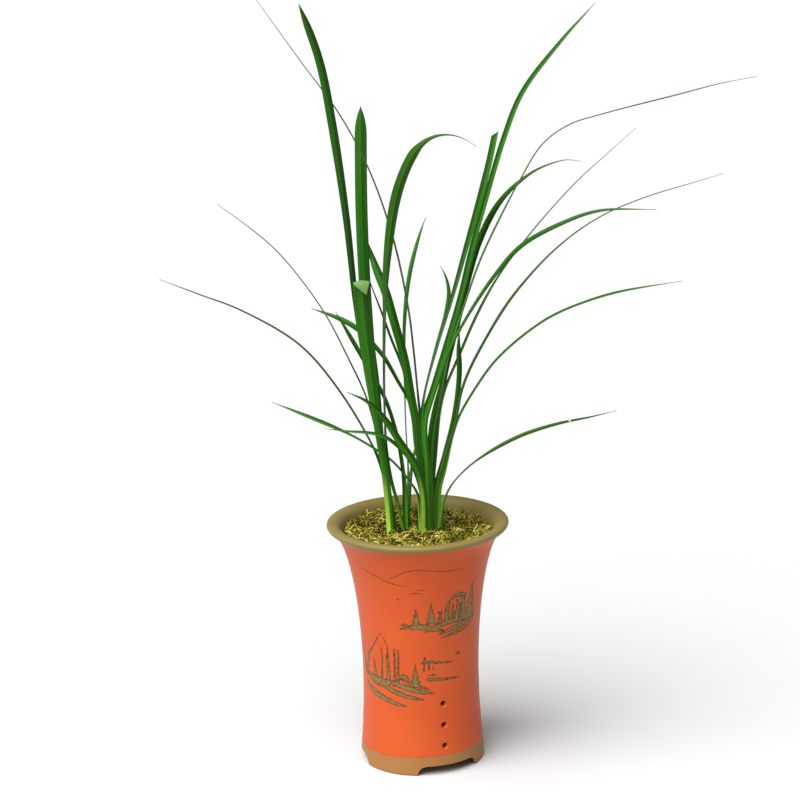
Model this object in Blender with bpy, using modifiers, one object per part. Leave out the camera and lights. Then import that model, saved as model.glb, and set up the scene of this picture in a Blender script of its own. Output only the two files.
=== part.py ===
"""Potted cymbidium orchid: a flared clay pot on three feet, filled with grit, potting mix and moss,
with a rootstock from which twenty-six long strap leaves rise in five shoots.

The origin is on the pot's axis at ground level, +Z up. Lengths below are millimetres, and the scene is
in metres. The plant was laid out as it looks from its front: `right`, `away` and `up` are the viewer's
directions, and the front lies VIEW_TURN degrees round from the -Y side.
"""

import math
import random

import bmesh
import bpy
from mathutils import Matrix, Vector

MM = 0.001
VIEW_TURN = 45.0  # degrees from +X to the viewer's right hand

# Pot
SEGMENTS = 42
WALL_OUTSIDE = (
    (83.0, 249.6),
    (87.0, 250.0),
    (90.4, 249.2),
    (91.5, 247.0),
    (90.6, 244.6),
    (85.5, 241.0),
    (80.6, 236.0),
    (76.6, 228.5),
    (72.0, 215.0),
    (67.3, 195.0),
    (63.2, 169.0),
    (60.2, 138.0),
    (58.5, 100.0),
    (58.8, 62.0),
    (60.4, 34.0),
    (62.2, 10.0),
    (62.2, 1.4),
    (60.8, 0.0),
)
UNDERSIDE = ((52.0, 0.0), (50.4, 1.4), (50.0, 12.0), (9.5, 12.0), (9.5, 20.0))
WALL_INSIDE = (
    (49.5, 20.0),
    (53.4, 24.0),
    (52.6, 62.0),
    (52.2, 100.0),
    (53.9, 138.0),
    (57.0, 169.0),
    (61.2, 195.0),
    (66.2, 215.0),
    (71.0, 227.0),
    (74.3, 238.0),
    (76.4, 244.2),
    (79.2, 248.0),
)
NOTCH_MIDDLES = (26.0, 146.0, 266.0)  # degrees round from the front, to the viewer's right
NOTCH_ARCH = ((-34.5, -4.0), (-33.0, 0.0), (-31.0, 5.5), (-28.5, 8.8), (-24.0, 10.0))
NOTCH_FROM = 30.0
NOTCH_TO = 85.0
AIR_HOLE_OFFSET = -4.5  # each column of air holes against the middle of its notch, degrees
AIR_HOLE_HEIGHTS = (30.0, 51.5, 74.0)
AIR_HOLE_RADIUS = 2.5
AIR_HOLE_CHAMFER = 1.2

# Filling
CLEARANCE = 0.4
GRIT_TOP = 31.6
MIX_BOTTOM = 32.0
MIX_TOP = 225.4
MOSS_BOTTOM = 225.9
MOSS_TOP = 236.5
MOSS_BUMPS = 1.6
MOSS_RINGS = 8
MOSS_SEED = 4
OPENING_MARGIN = 4.5  # a shoot's opening in the moss reaches this far past its outer leaves
OPENING_HALF_WIDTH = 6.9

# Shoots
FOOT_HEIGHT = 225.8  # where a leaf starts, in its slot in the rootstock
COLLAR_HEIGHT = 234.8  # below this a leaf stands upright
BULB_MIDDLE = 215.0
BULB_HALF_HEIGHT = 17.0
BLADE_THICKNESS = 0.9
SLOT_CLEARANCE = 0.5
CUT_SLANT = 3.0
FOLD_RADIUS = 2.6
FOLD_LENGTH = 10.5
STRAIGHT_SAMPLES = 5  # samples of a leaf's path between its foot and its collar
# For each kind of tip: the width at the foot, the stretch of the leaf over which the width changes to the
# full one, where it starts to narrow, and how suddenly it ends
OUTLINES = {
    "pointed": (5.6, 0.0, 0.5, 0.62, 1.6),
    "drawn out": (3.8, 0.0, 0.5, 0.86, 0.5),
    "short": (5.6, 0.0, 0.5, 0.84, 1.7),
    "blunt": (5.6, 0.0, 0.5, 0.93, 2.4),
    "cut": (5.6, 0.0, 0.5, 1.0, 1.0),
    "folded": (7.4, 0.35, 0.95, 1.0, 1.0),
}

# How the front view was drawn: the eye's distance from the pot's mouth, the downward slope of the line
# of sight, the lean of the drawing, and where the mouth's middle lies in it
EYE_DISTANCE = 3000.0
EYE_SLOPE = 15.2
VIEW_ROLL = 1.4
MOUTH_IN_VIEW = (17.5, -119.5)

# Each shoot: name, foot of its first leaf (right, away), step to the next foot, turn of the blades there,
# and its leaves from front to back. A turn of 0 shows the blade's whole width from the front, +90 or -90
# its edge. Each leaf: kind of tip, full width, its turns at the eighths of its length, and the points that
# it passes, across and up from the mouth's middle as drawn and away from the pot's axis.
SHOOTS = (
    (
        "left", (-27.3, -6.4), (1.16, 3.2), 20.0,
        (
            ("folded", 17.0, (15, 10, 5, 5, 5, 0, 0, 0),
             ((-31, 35, -10), (-37.5, 80, -15), (-46, 140, -20), (-53, 200, -27), (-56, 236, -33))),
            ("blunt", 9.3, (-15, -50, -50, -50, -40, -25, -30, -40),
             ((-32, 40, -6), (-39.5, 85, -10), (-47, 125, -12), (-62, 220, -18), (-71, 300, -28),
              (-84.5, 390, -40), (-98.5, 460, -52), (-119, 516, -62))),
            ("pointed", 5.5, (-30, -75, -75, -80, -85, -85, -85, -85),
             ((-33, 45, -2), (-39.5, 80, -4), (-51, 122, -5), (-68, 159, -13), (-95.5, 211, -43),
              (-138, 266, -90), (-168, 292, -122), (-200, 315, -158))),
            ("blunt", 12.2, (-15, -40, -25, -15, -15, -10, -10, -10),
             ((-31, 40, 8), (-36, 75, 14), (-42, 130, 23), (-49, 180, 34), (-53, 240, 43), (-56, 310, 53),
              (-57, 413, 68))),
            ("pointed", 5.5, (-25, -70, -70, -70, -70, -70, -65, -30),
             ((-29, 25, 10), (-36, 53, 18), (-46, 76, 24), (-78.5, 129.5, 38), (-118, 175, 54),
              (-178, 210, 68), (-218, 225, 75), (-258, 240, 82))),
        ),
    ),
    (
        "middle", (-13.6, -2.8), (1.0, 3.2), 20.0,
        (
            ("drawn out", 10.4, (45, 75, 75, 70, 40, 10, 25, 75),
             ((-21, 20, -5), (-26, 38, -6), (-31, 70, -8), (-33, 110, -9), (-33.5, 180, -17),
              (-30.5, 260, -32), (-19.5, 330, -42), (-1.5, 369.5, -50), (14, 382, -54), (29, 385, -57),
              (44, 382, -59), (59, 373, -60))),
            ("short", 6.0, (-15, -45, -50, -50, -50, -45, -40, -40),
             ((-13, 35, 5), (-16, 60, 8), (-20, 82, 10), (-32, 120, 12), (-54, 160, 13), (-67.5, 183.5, 13),
              (-82, 208, 14))),
            ("short", 5.5, (50, 85, 80, 70, 55, 40, 35, 25),
             ((-9, 35, 12), (-12, 95, 19), (-13, 145, 24), (-13, 200, 30), (-7.5, 248, 37), (4, 291, 42),
              (8.5, 302.5, 45))),
            ("short", 5.5, (40, 60, 70, 70, 65, 50, 30, 20),
             ((-8, 30, 18), (-5, 58, 28), (0, 80, 36), (6, 122, 42), (18, 170, 45), (29, 208, 46),
              (31.5, 227.5, 48), (28.5, 242.5, 50), (23, 253.5, 52))),
        ),
    ),
    (
        "front", (7.0, -14.0), (-1.6, 3.3), -20.0,
        (
            ("pointed", 8.0, (-20, -20, -25, -25, -25, -25, -25, -25),
             ((7, 20, -17), (4, 38, -19), (0, 51, -21), (-7, 63, -24), (-16, 75, -27), (-31, 98, -31),
              (-49.5, 117.5, -38), (-71, 127.5, -46))),
            ("pointed", 6.0, (-40, -50, -50, -50, -50, -50, -50, -50),
             ((4, 25, -12), (-1, 44, -13), (-8, 60, -16), (-18, 72, -19), (-33, 83, -24), (-50, 87, -29),
              (-68, 88, -34), (-93, 91, -42))),
            ("pointed", 6.5, (-45, -70, -70, -70, -70, -40, -20, -25),
             ((0, 26, -6), (-7, 37, -5), (-16, 49, -4), (-28, 61, 2), (-40, 69, 7), (-58, 80, 10),
              (-78, 90, 12), (-118, 106.5, 16), (-146, 117.5, 21))),
        ),
    ),
    (
        "centre", (12.5, -9.0), (-1.16, 3.2), -20.0,
        (
            ("pointed", 7.0, (15, 45, 60, 65, 55, 35, 20, 20),
             ((10, 50, -12), (8, 98, -16), (13, 116, -17), (23, 145, -19), (32, 170, -21), (53, 208.5, -25),
              (79, 246.5, -30), (104, 274, -35), (142.5, 295.5, -41), (182, 309, -46), (239, 310, -51))),
            ("cut", 8.5, (10, 55, 80, 75, 60, 50, 40, 45),
             ((8, 45, -6), (4, 85, -8), (6, 120, -7), (19, 170, 0), (34, 220, 7), (48, 270, 12),
              (62, 320, 17), (71, 355, 22), (77.5, 386, 27))),
            ("short", 9.5, (-20, -20, -25, -25, -25, -20, -20, -20),
             ((5, 45, -2), (0, 75, -2), (-2, 100, -1), (-6, 120, 1), (-13, 160, 7), (-24, 200, 16),
              (-32, 228, 28), (-41, 250, 43), (-52, 282, 64))),
            ("short", 6.0, (-40, -55, -60, -60, -50, -35, -20, -20),
             ((4, 45, 3), (0, 80, 4), (-4, 105, 5), (-10, 122, 6), (-18.5, 136.5, 8), (-33, 162, 9),
              (-44, 175, 12), (-59, 190, 17), (-78, 201, 24), (-106, 211, 34))),
            ("pointed", 5.5, (-45, -70, -70, -70, -75, -75, -85, -85),
             ((7, 40, 8), (5, 80, 13), (1, 120, 14), (-4.5, 175, 9), (-9, 210, 6), (-24, 280, 2),
              (-48, 349, 4), (-77.5, 404.5, 10), (-118, 460, 16), (-170, 532, 20))),
            ("short", 8.5, (15, 50, 50, 50, 50, 50, 55, 50),
             ((6, 45, 13), (4, 80, 19), (6, 105, 22), (13, 125, 23), (27, 170, 26), (42, 220, 31),
              (54, 270, 37), (68, 320, 45), (86, 380.5, 56), (104.5, 427, 65), (142.5, 477.5, 73),
              (177.5, 516.5, 80))),
            ("pointed", 4.5, (-30, -40, -50, -55, -55, -50, -50, -50),
             ((4, 45, 18), (0, 75, 26), (-5, 115, 32), (-10, 135, 34), (-17, 158, 36), (-26, 180, 39),
              (-35, 205, 45), (-47, 236, 55), (-54, 258, 63))),
        ),
    ),
    (
        "right", (21.5, -9.0), (-1.16, 3.2), -20.0,
        (
            ("pointed", 6.5, (60, 80, 75, 55, 55, 55, 55, 60),
             ((26, 17, -11), (34, 35, -14), (50.5, 52.5, -16), (70, 66.5, -19), (89.5, 77.5, -24),
              (109.5, 86.5, -28), (142.5, 96.5, -33), (172.5, 102.5, -37), (199, 109, -40))),
            ("pointed", 5.5, (25, 65, 65, 65, 65, 60, 35, 30),
             ((21.5, 30, -6), (26.5, 48, -7), (35.5, 85, -10), (42, 104, -13), (52, 122, -15), (77.5, 158.5, -19),
              (112, 189, -24), (140, 206.5, -28), (192, 225.5, -33), (242, 235, -38), (265, 238.5, -40))),
            ("pointed", 6.5, (20, 65, 65, 65, 75, 80, 85, 85),
             ((20.5, 30, -2), (32, 75, -1), (39, 102, -1), (43, 125, -1), (49, 143, 0), (60, 166, 2),
              (89, 215, 7), (112.5, 244.5, 9), (134.5, 267.5, 11), (162, 290, 13), (192, 308, 15),
              (232, 324, 17), (272, 336, 19), (306, 346, 20))),
            ("pointed", 5.5, (25, 70, 70, 70, 80, 80, 60, 40),
             ((15, 50, 2), (17, 85, 3), (23, 120, 3), (32, 168, 1), (46, 212, 0), (62, 258, 0),
              (82, 301, 0), (102, 339, 0), (125, 376, 0), (152, 395.5, 0), (182, 405, 0), (222, 415.5, 0),
              (262, 425.5, 0), (302, 436, 0), (339, 443, 0))),
            ("short", 5.5, (20, 60, 70, 60, 30, 20, 10, 10),
             ((17, 30, 5), (25, 62, 7), (30, 80, 8), (36, 102, 10), (40, 125, 13), (42, 150, 14),
              (41, 172, 15), (42, 190, 16))),
            ("pointed", 5.5, (20, 60, 60, 60, 75, 80, 85, 80),
             ((15, 40, 11), (17, 60, 13), (20, 90, 16), (23, 112, 18), (28, 132, 21), (42, 165, 25),
              (58.5, 203, 29), (78, 239, 33), (100, 270, 37), (132, 309, 43), (162, 341, 49),
              (192, 368, 55), (218.5, 391.5, 60))),
            ("pointed", 8.5, (10, 35, 35, 35, 35, 25, 45, 60),
             ((12, 45, 18), (14, 90, 25), (19, 115, 29), (25, 135, 32), (29, 155, 35), (39, 195, 39),
              (50, 240, 43), (63, 282, 47), (84, 320, 52), (112.5, 346, 58), (132, 355.5, 64),
              (150, 360, 68), (164, 358, 70))),
        ),
    ),
)

# Roots: which shoot each one leaves, its heading (degrees round from the front), reach and lowest point
ROOTS = (
    (0, 300.0, 44.0, 120.0),
    (0, 215.0, 38.0, 70.0),
    (1, 170.0, 40.0, 96.0),
    (2, 10.0, 42.0, 82.0),
    (3, 140.0, 40.0, 58.0),
    (4, 80.0, 44.0, 130.0),
    (4, 40.0, 38.0, 64.0),
)
ROOT_RADIUS = 2.2


def clear_scene():
    for obj in list(bpy.data.objects):
        bpy.data.objects.remove(obj)


def new_collection(name, hidden=False):
    made = bpy.data.collections.new(name)
    made.hide_render = hidden
    bpy.context.scene.collection.children.link(made)
    return made


def material(name, colour, roughness):
    made = bpy.data.materials.new(name)
    made.use_nodes = True
    shader = made.node_tree.nodes["Principled BSDF"]
    shader.inputs["Base Color"].default_value = (*colour, 1.0)
    shader.inputs["Roughness"].default_value = roughness
    made.diffuse_color = (*colour, 1.0)
    return made


def room(right, away, up):
    """A point given in the viewer's directions and millimetres, in the part's frame and metres."""
    turn = math.radians(VIEW_TURN)
    x = right * math.cos(turn) - away * math.sin(turn)
    y = right * math.sin(turn) + away * math.cos(turn)
    return Vector((x, y, up)) * MM


def unrolled(across, up):
    """A point of the front view from the view's own middle, with its lean taken out."""
    roll = math.radians(VIEW_ROLL)
    return (
        across * math.cos(roll) + up * math.sin(roll),
        up * math.cos(roll) - across * math.sin(roll),
    )


def sight_line(across, up):
    """The direction, in (right, away, up), in which the eye sees this point of the view."""
    slope = math.radians(EYE_SLOPE)
    x, y = unrolled(across, up)
    ahead = Vector((0.0, math.cos(slope), -math.sin(slope)))
    above = Vector((0.0, math.sin(slope), math.cos(slope)))
    return Vector((x, 0.0, 0.0)) + above * y + ahead * EYE_DISTANCE


def seen(across, up, away):
    """The point, in (right, away, up), that shows at (across, up) from the pot's mouth in the front view."""
    mouth_x, mouth_y = MOUTH_IN_VIEW
    eye = Vector((0.0, 0.0, WALL_OUTSIDE[1][1])) - sight_line(mouth_x, mouth_y)
    line = sight_line(mouth_x + across, mouth_y + up)
    return eye + line * ((away - eye.y) / line.y)


def ease(t):
    t = min(1.0, max(0.0, t))
    return t * t * (3.0 - 2.0 * t)


def add_mesh(name, points, faces, collection, colour=None):
    mesh = bpy.data.meshes.new(name)
    mesh.from_pydata([tuple(p) for p in points], [], faces)
    mesh.update()
    obj = bpy.data.objects.new(name, mesh)
    collection.objects.link(obj)
    if colour:
        mesh.materials.append(colour)
    return obj


def as_mesh(obj, collection, colour=None):
    """Replaces an object by a plain welded mesh of what its curve or its modifiers make."""
    name = obj.name
    graph = bpy.context.evaluated_depsgraph_get()
    mesh = bpy.data.meshes.new_from_object(obj.evaluated_get(graph))
    matrix = obj.matrix_world.copy()
    bpy.data.objects.remove(obj)
    work = bmesh.new()
    work.from_mesh(mesh)
    bmesh.ops.remove_doubles(work, verts=work.verts, dist=0.00001)
    bmesh.ops.recalc_face_normals(work, faces=work.faces)
    work.to_mesh(mesh)
    work.free()
    made = bpy.data.objects.new(name, mesh)
    made.matrix_world = matrix
    collection.objects.link(made)
    if colour:
        mesh.materials.append(colour)
    return made


def cutter(obj):
    """Keeps an object that only shapes others out of the picture."""
    obj.hide_render = True
    obj.display_type = "WIRE"
    return obj


def boolean(obj, name, operand, operation):
    modifier = obj.modifiers.new(name, "BOOLEAN")
    modifier.operation = operation
    modifier.solver = "EXACT"
    modifier.object = operand
    return modifier


def lathe(name, profile, collection, colour=None, closed=True, segments=SEGMENTS):
    """Turns a profile of (radius, height), listed down its outer side, about the Z axis."""
    count = len(profile)
    points = [(radius * MM, 0.0, height * MM) for radius, height in profile]
    edges = [(i, i + 1) for i in range(count - 1)]
    if closed:
        edges.append((count - 1, 0))
    mesh = bpy.data.meshes.new(name)
    mesh.from_pydata(points, edges, [])
    obj = bpy.data.objects.new(name, mesh)
    collection.objects.link(obj)
    if colour:
        mesh.materials.append(colour)
    screw = obj.modifiers.new("Turn", "SCREW")
    screw.steps = segments
    screw.render_steps = segments
    screw.use_merge_vertices = True
    screw.merge_threshold = 0.00001
    return obj


def prism(name, outline, depth, matrix, collection):
    """A flat outline in mm, made `depth` mm thick and placed by a matrix."""
    curve = bpy.data.curves.new(name, "CURVE")
    curve.dimensions = "2D"
    curve.fill_mode = "BOTH"
    curve.extrude = 0.5 * depth * MM
    line = curve.splines.new("POLY")
    line.points.add(len(outline) - 1)
    for point, (x, y) in zip(line.points, outline):
        point.co = (x * MM, y * MM, 0.0, 1.0)
    line.use_cyclic_u = True
    obj = bpy.data.objects.new(name, curve)
    obj.matrix_world = matrix
    collection.objects.link(obj)
    return as_mesh(obj, collection)


def tube(name, path, radius, collection, resolution=1, end=1.0):
    """A closed tube of 4 + 2 * resolution sides along a path, its last radius times `end`."""
    curve = bpy.data.curves.new(name, "CURVE")
    curve.dimensions = "3D"
    curve.bevel_depth = radius * MM
    curve.bevel_resolution = resolution
    curve.use_fill_caps = True
    line = curve.splines.new("POLY")
    line.points.add(len(path) - 1)
    for point, at in zip(line.points, path):
        point.co = (*room(*at), 1.0)
    line.points[-1].radius = end
    obj = bpy.data.objects.new(name, curve)
    collection.objects.link(obj)
    return as_mesh(obj, collection)


def ellipsoid(name, middle, halves, bearing, collection):
    """A sphere stretched to three half lengths, its first axis at `bearing` in the viewer's plan."""
    turn = Matrix.Rotation(math.radians(VIEW_TURN) + bearing, 4, "Z")
    stretch = Matrix.Diagonal((*(Vector(halves) * MM), 1.0))
    mesh = bpy.data.meshes.new(name)
    work = bmesh.new()
    matrix = Matrix.Translation(room(*middle)) @ turn @ stretch
    bmesh.ops.create_uvsphere(work, u_segments=12, v_segments=7, radius=1.0, matrix=matrix)
    work.to_mesh(mesh)
    work.free()
    obj = bpy.data.objects.new(name, mesh)
    collection.objects.link(obj)
    return obj


def round_from_front(degrees, out, up):
    """Where -Y becomes this bearing of the pot (0 front, 90 the viewer's right), `out` mm from the axis."""
    turn = Matrix.Rotation(math.radians(VIEW_TURN + degrees), 4, "Z")
    lie_down = Matrix.Rotation(math.radians(90.0), 4, "X")
    return turn @ Matrix.Translation(Vector((0.0, -out, up)) * MM) @ lie_down


def foot_notches(collection):
    """Three arches through the foot ring, which leave its three feet."""
    arch = list(NOTCH_ARCH) + [(-across, up) for across, up in reversed(NOTCH_ARCH)]
    made = []
    for k, middle in enumerate(NOTCH_MIDDLES):
        matrix = round_from_front(middle, 0.5 * (NOTCH_FROM + NOTCH_TO), 0.0)
        made.append(prism(f"foot_notch_{k + 1}", arch, NOTCH_TO - NOTCH_FROM, matrix, collection))
    return made


def outside_radius(height):
    """The pot's outer radius at a height on its wall."""
    for (upper, top), (lower, bottom) in zip(WALL_OUTSIDE, WALL_OUTSIDE[1:]):
        if bottom <= height < top:
            return lower + (upper - lower) * (height - bottom) / (top - bottom)
    return WALL_OUTSIDE[0][0]


def air_holes(collection):
    """A column of air holes over each notch, each hole flaring at the outside."""
    flare = AIR_HOLE_CHAMFER + 4.0
    profile = (
        (0.0, 4.0),
        (AIR_HOLE_RADIUS + flare, 4.0),
        (AIR_HOLE_RADIUS, 4.0 - flare),
        (AIR_HOLE_RADIUS, -12.0),
        (0.0, -12.0),
    )
    made = []
    for middle in NOTCH_MIDDLES:
        for height in AIR_HOLE_HEIGHTS:
            name = f"air_hole_{len(made) + 1}"
            hole = lathe(name, profile, collection, closed=False, segments=12)
            bearing = middle + AIR_HOLE_OFFSET
            hole.matrix_world = round_from_front(bearing, outside_radius(height), height)
            made.append(hole)
    return made


def inside_radius(height):
    """The pot's inner radius at a height."""
    for (lower, bottom), (upper, top) in zip(WALL_INSIDE, WALL_INSIDE[1:]):
        if bottom <= height <= top:
            return lower + (upper - lower) * (height - bottom) / (top - bottom)
    return WALL_INSIDE[-1][0]


def filling_profile(bottom, top):
    """The profile of a layer that fills the pot from one height to another, with a small clearance."""
    between = [height for _, height in WALL_INSIDE if bottom < height < top]
    heights = [top] + between[::-1] + [bottom]
    side = [(inside_radius(height) - CLEARANCE, height) for height in heights]
    return [(0.0, top)] + side + [(0.0, bottom)]


def spline(points, step=2.0, passes=9):
    """A smooth curve through points, sampled about every `step` mm, with small kinks eased out."""
    knots = [points[0] * 2 - points[1], *points, points[-1] * 2 - points[-2]]
    fine = []
    for p0, p1, p2, p3 in zip(knots, knots[1:], knots[2:], knots[3:]):
        t1 = (p1 - p0).length ** 0.5
        t2 = t1 + (p2 - p1).length ** 0.5
        t3 = t2 + (p3 - p2).length ** 0.5
        pieces = max(2, math.ceil((p2 - p1).length / step))
        for i in range(pieces):
            t = t1 + (t2 - t1) * i / pieces
            a1 = p0.lerp(p1, t / t1)
            a2 = p1.lerp(p2, (t - t1) / (t2 - t1))
            a3 = p2.lerp(p3, (t - t2) / (t3 - t2))
            b1 = a1.lerp(a2, t / t2)
            b2 = a2.lerp(a3, (t - t1) / (t3 - t1))
            fine.append(b1.lerp(b2, (t - t1) / (t2 - t1)))
    fine.append(points[-1])
    for _ in range(passes):
        eased = list(fine)
        for i in range(STRAIGHT_SAMPLES + 1, len(fine) - 1):
            eased[i] = (fine[i - 1] + fine[i] * 2 + fine[i + 1]) / 4
        fine = eased
    return fine


def turned_across(along, turn):
    """The blade's direction of width where it heads `along`, turned from the viewer by `turn` degrees."""
    slope = math.radians(17.5)
    to_viewer = Vector((0.0, -math.cos(slope), math.sin(slope)))
    facing = along.cross(to_viewer).normalized()
    edge_on = facing.cross(along).normalized()
    angle = math.radians(turn)
    return facing * math.cos(angle) + edge_on * math.sin(angle)


def blade_width(share, tip, full_width):
    """The blade's width at this share of its length."""
    foot, first, full, start, power = OUTLINES[tip]
    width = foot + (full_width - foot) * ease((share - first) / (full - first))
    if share > start:
        width *= 1.0 - ((share - start) / (1.0 - start)) ** power
    return width


def turn_at(turns, share):
    """The turn at this share of the length, between the turns given at even steps."""
    place = share * (len(turns) - 1)
    step = min(int(place), len(turns) - 2)
    return turns[step] + (turns[step + 1] - turns[step]) * (place - step)


def leaf_rows(foot, foot_turn, leaf, spacing=26.0, bend=11.0):
    """The rows of a leaf from foot to tip, each (middle, across, normal, half width, keel), in mm."""
    tip, full_width, turns, waypoints = leaf
    points = [Vector((*foot, FOOT_HEIGHT)), Vector((*foot, COLLAR_HEIGHT))]
    points += [seen(*p) for p in waypoints]
    path = spline(points)
    reach = [0.0]
    for a, b in zip(path, path[1:]):
        reach.append(reach[-1] + (b - a).length)
    total = reach[-1]
    headings = [
        (path[min(i + 1, len(path) - 1)] - path[max(i - 1, 0)]).normalized() for i in range(len(path))
    ]
    for i in range(STRAIGHT_SAMPLES + 1):
        headings[i] = Vector((0.0, 0.0, 1.0))
    rows = []
    last = None
    last_turn = None
    for i, middle in enumerate(path):
        share = max(0.0, reach[i] - reach[STRAIGHT_SAMPLES]) / (total - reach[STRAIGHT_SAMPLES])
        turn = turn_at((foot_turn, *turns), share)
        if i not in (0, STRAIGHT_SAMPLES, len(path) - 1):
            if i < STRAIGHT_SAMPLES:
                continue
            turned = math.degrees(headings[i].angle(headings[last])) + 0.35 * abs(turn - last_turn)
            near_tip = tip in ("pointed", "short") and share > 0.8
            enough = spacing * (0.6 if near_tip else 1.0)
            if reach[i] - reach[last] < enough and turned < bend:
                continue
            if total - reach[i] < 5.0:
                continue
        across = turned_across(headings[i], turn)
        normal = across.cross(headings[i]).normalized()
        half = max(0.5, 0.5 * blade_width(share, tip, full_width))
        keel = half * (0.42 - 0.28 * ease(share / 0.4))
        rows.append((middle, across, normal, half, keel))
        last = i
        last_turn = turn
    if tip == "folded":
        rows += folded_end(rows[-1], headings[-1])
    return rows


def folded_end(row, heading):
    """The rows of a snapped tip that has folded over to the front and hangs down."""
    middle, across, normal, half, keel = row
    centre = middle + normal * FOLD_RADIUS
    rows = []
    for degrees in (40.0, 80.0, 120.0, 160.0):
        angle = math.radians(degrees)
        out = heading * math.sin(angle) - normal * math.cos(angle)
        wide = half * (1.0 - 0.03 * degrees / 40.0)
        rows.append((centre + out * FOLD_RADIUS, across, -out, wide, keel))
    start, _, inward, wide, _ = rows[-1]
    angle = math.radians(250.0)
    down = heading * math.sin(angle) - normal * math.cos(angle)
    for share in (0.33, 0.66, 1.0):
        at = start + down * (FOLD_LENGTH * share) + across * (4.0 * share)
        rows.append((at, across, inward, max(0.5, wide * (1.0 - share)), keel * (1.0 - share)))
    return rows


def blade(name, strips, collection, colour=None, thickness=BLADE_THICKNESS):
    """A mesh of one or more leaf strips, each two faces wide with a keel, made solid by a modifier."""
    points = []
    faces = []
    for rows, tip in strips:
        start = len(points)
        for k, (middle, across, normal, half, keel) in enumerate(rows):
            left = middle - across * half
            right = middle + across * half
            if tip == "cut" and k == len(rows) - 1:
                slant = across.cross(normal).normalized() * CUT_SLANT
                left += slant
                right -= slant
            points += [room(*left), room(*(middle - normal * keel)), room(*right)]
        for k in range(len(rows) - 1):
            a = start + 3 * k
            faces.append((a, a + 1, a + 4, a + 3))
            faces.append((a + 1, a + 2, a + 5, a + 4))
    obj = add_mesh(name, points, faces, collection, colour)
    obj.data.shade_smooth()
    obj.modifiers.new("Triangles", "TRIANGULATE")
    solid = obj.modifiers.new("Thickness", "SOLIDIFY")
    solid.thickness = thickness * MM
    solid.offset = 0.0
    solid.use_even_offset = True
    return obj


def slot_rows(rows):
    """The straight lowest part of a leaf, wider and reaching a little lower, as a cutter for its slot."""
    (middle, across, normal, half, keel), collar = rows[:2]
    wide = half + SLOT_CLEARANCE + 0.1
    below = middle - Vector((0.0, 0.0, 2.0 * SLOT_CLEARANCE))
    above = collar[0] + Vector((0.0, 0.0, 4.0))
    return [(below, across, normal, wide, keel), (above, across, normal, wide, keel)]


def shoot_places():
    """For each shoot: its name, middle, half length and direction of its row, and the feet of its leaves."""
    places = []
    for name, first, step, turn, leaves in SHOOTS:
        feet = [(first[0] + step[0] * i, first[1] + step[1] * i) for i in range(len(leaves))]
        middle = ((feet[0][0] + feet[-1][0]) / 2.0, (feet[0][1] + feet[-1][1]) / 2.0)
        half = math.dist(feet[0], feet[-1]) / 2.0
        places.append((name, middle, half, math.atan2(step[1], step[0]), feet))
    return places


def root_path(start, bearing, reach, low):
    """A root's centre-line: out from the rootstock, then down, with a slight wave."""
    angle = math.radians(bearing)
    out = Vector((math.sin(angle), -math.cos(angle), 0.0))
    side = Vector((math.cos(angle), math.sin(angle), 0.0))
    begin = Vector((*start, BULB_MIDDLE - 6.0))
    end = Vector((out.x * reach, out.y * reach, low))
    path = []
    for i in range(9):
        share = i / 8.0
        at = begin.lerp(end, share)
        at.z = begin.z + (low - begin.z) * share**1.25
        path.append(at + side * (3.0 * math.sin(9.0 * share + bearing)))
    return path


def grow_rootstock(name, collection, helpers, grow=0.0, colour=None):
    """The bulbs and roots joined into one body, `grow` mm larger all round."""
    places = shoot_places()
    pieces = []
    for shoot, middle, half, bearing, _ in places:
        halves = (half + 6.5 + grow, 7.4 + grow, BULB_HALF_HEIGHT + grow)
        middle = (*middle, BULB_MIDDLE)
        pieces.append(ellipsoid(f"{name}_{shoot}", middle, halves, bearing, helpers))
    for k, (a, b) in enumerate(((0, 1), (1, 3), (2, 3), (3, 4))):
        path = [Vector((*places[n][1], BULB_MIDDLE - 7.0)) for n in (a, b)]
        pieces.append(tube(f"{name}_link_{k + 1}", path, 5.5 + grow, helpers, resolution=2))
    for k, (shoot, bearing, reach, low) in enumerate(ROOTS):
        path = root_path(places[shoot][1], bearing, reach, low)
        if grow:
            path.append(path[-1] + (path[-1] - path[-2]).normalized() * grow)
        radius = ROOT_RADIUS + grow * 1.15
        pieces.append(tube(f"{name}_root_{k + 1}", path, radius, helpers, end=1.0 if grow else 0.6))
    body = pieces[0]
    body.name = name
    helpers.objects.unlink(body)
    collection.objects.link(body)
    if colour:
        body.data.materials.append(colour)
    for piece in pieces[1:]:
        boolean(body, f"Join {piece.name}", cutter(piece), "UNION")
    return body


def moss_layer(collection, colour):
    """A turned layer whose top is then raised and lowered by waves into lumps of moss."""
    edge = inside_radius(MOSS_TOP - 1.0) - CLEARANCE
    top = [(edge * ring / MOSS_RINGS, MOSS_TOP) for ring in range(MOSS_RINGS)]
    bottom = [(inside_radius(MOSS_BOTTOM) - CLEARANCE, MOSS_BOTTOM), (0.0, MOSS_BOTTOM)]
    profile = top + [(edge, MOSS_TOP - 1.0)] + bottom
    moss = as_mesh(lathe("moss", profile, collection, closed=False), collection, colour)
    chance = random.Random(MOSS_SEED)
    waves = []
    for _ in range(9):
        heading = chance.uniform(0.0, math.tau)
        across = Vector((math.cos(heading), math.sin(heading), 0.0)) / MM
        waves.append((chance.uniform(0.04, 0.16) * across, chance.uniform(0.0, math.tau)))
    for vertex in moss.data.vertices:
        if vertex.co.z > (MOSS_TOP - 0.5) * MM:
            lump = sum(math.sin(wave.dot(vertex.co) + phase) for wave, phase in waves) / 3.0
            vertex.co.z += MOSS_BUMPS * lump * MM
    moss.modifiers.new("Triangles", "TRIANGULATE")
    return moss


def rounded(value):
    """Pushes a point of a circle out towards the square around it."""
    return math.copysign(abs(value) ** 0.6, value)


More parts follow.
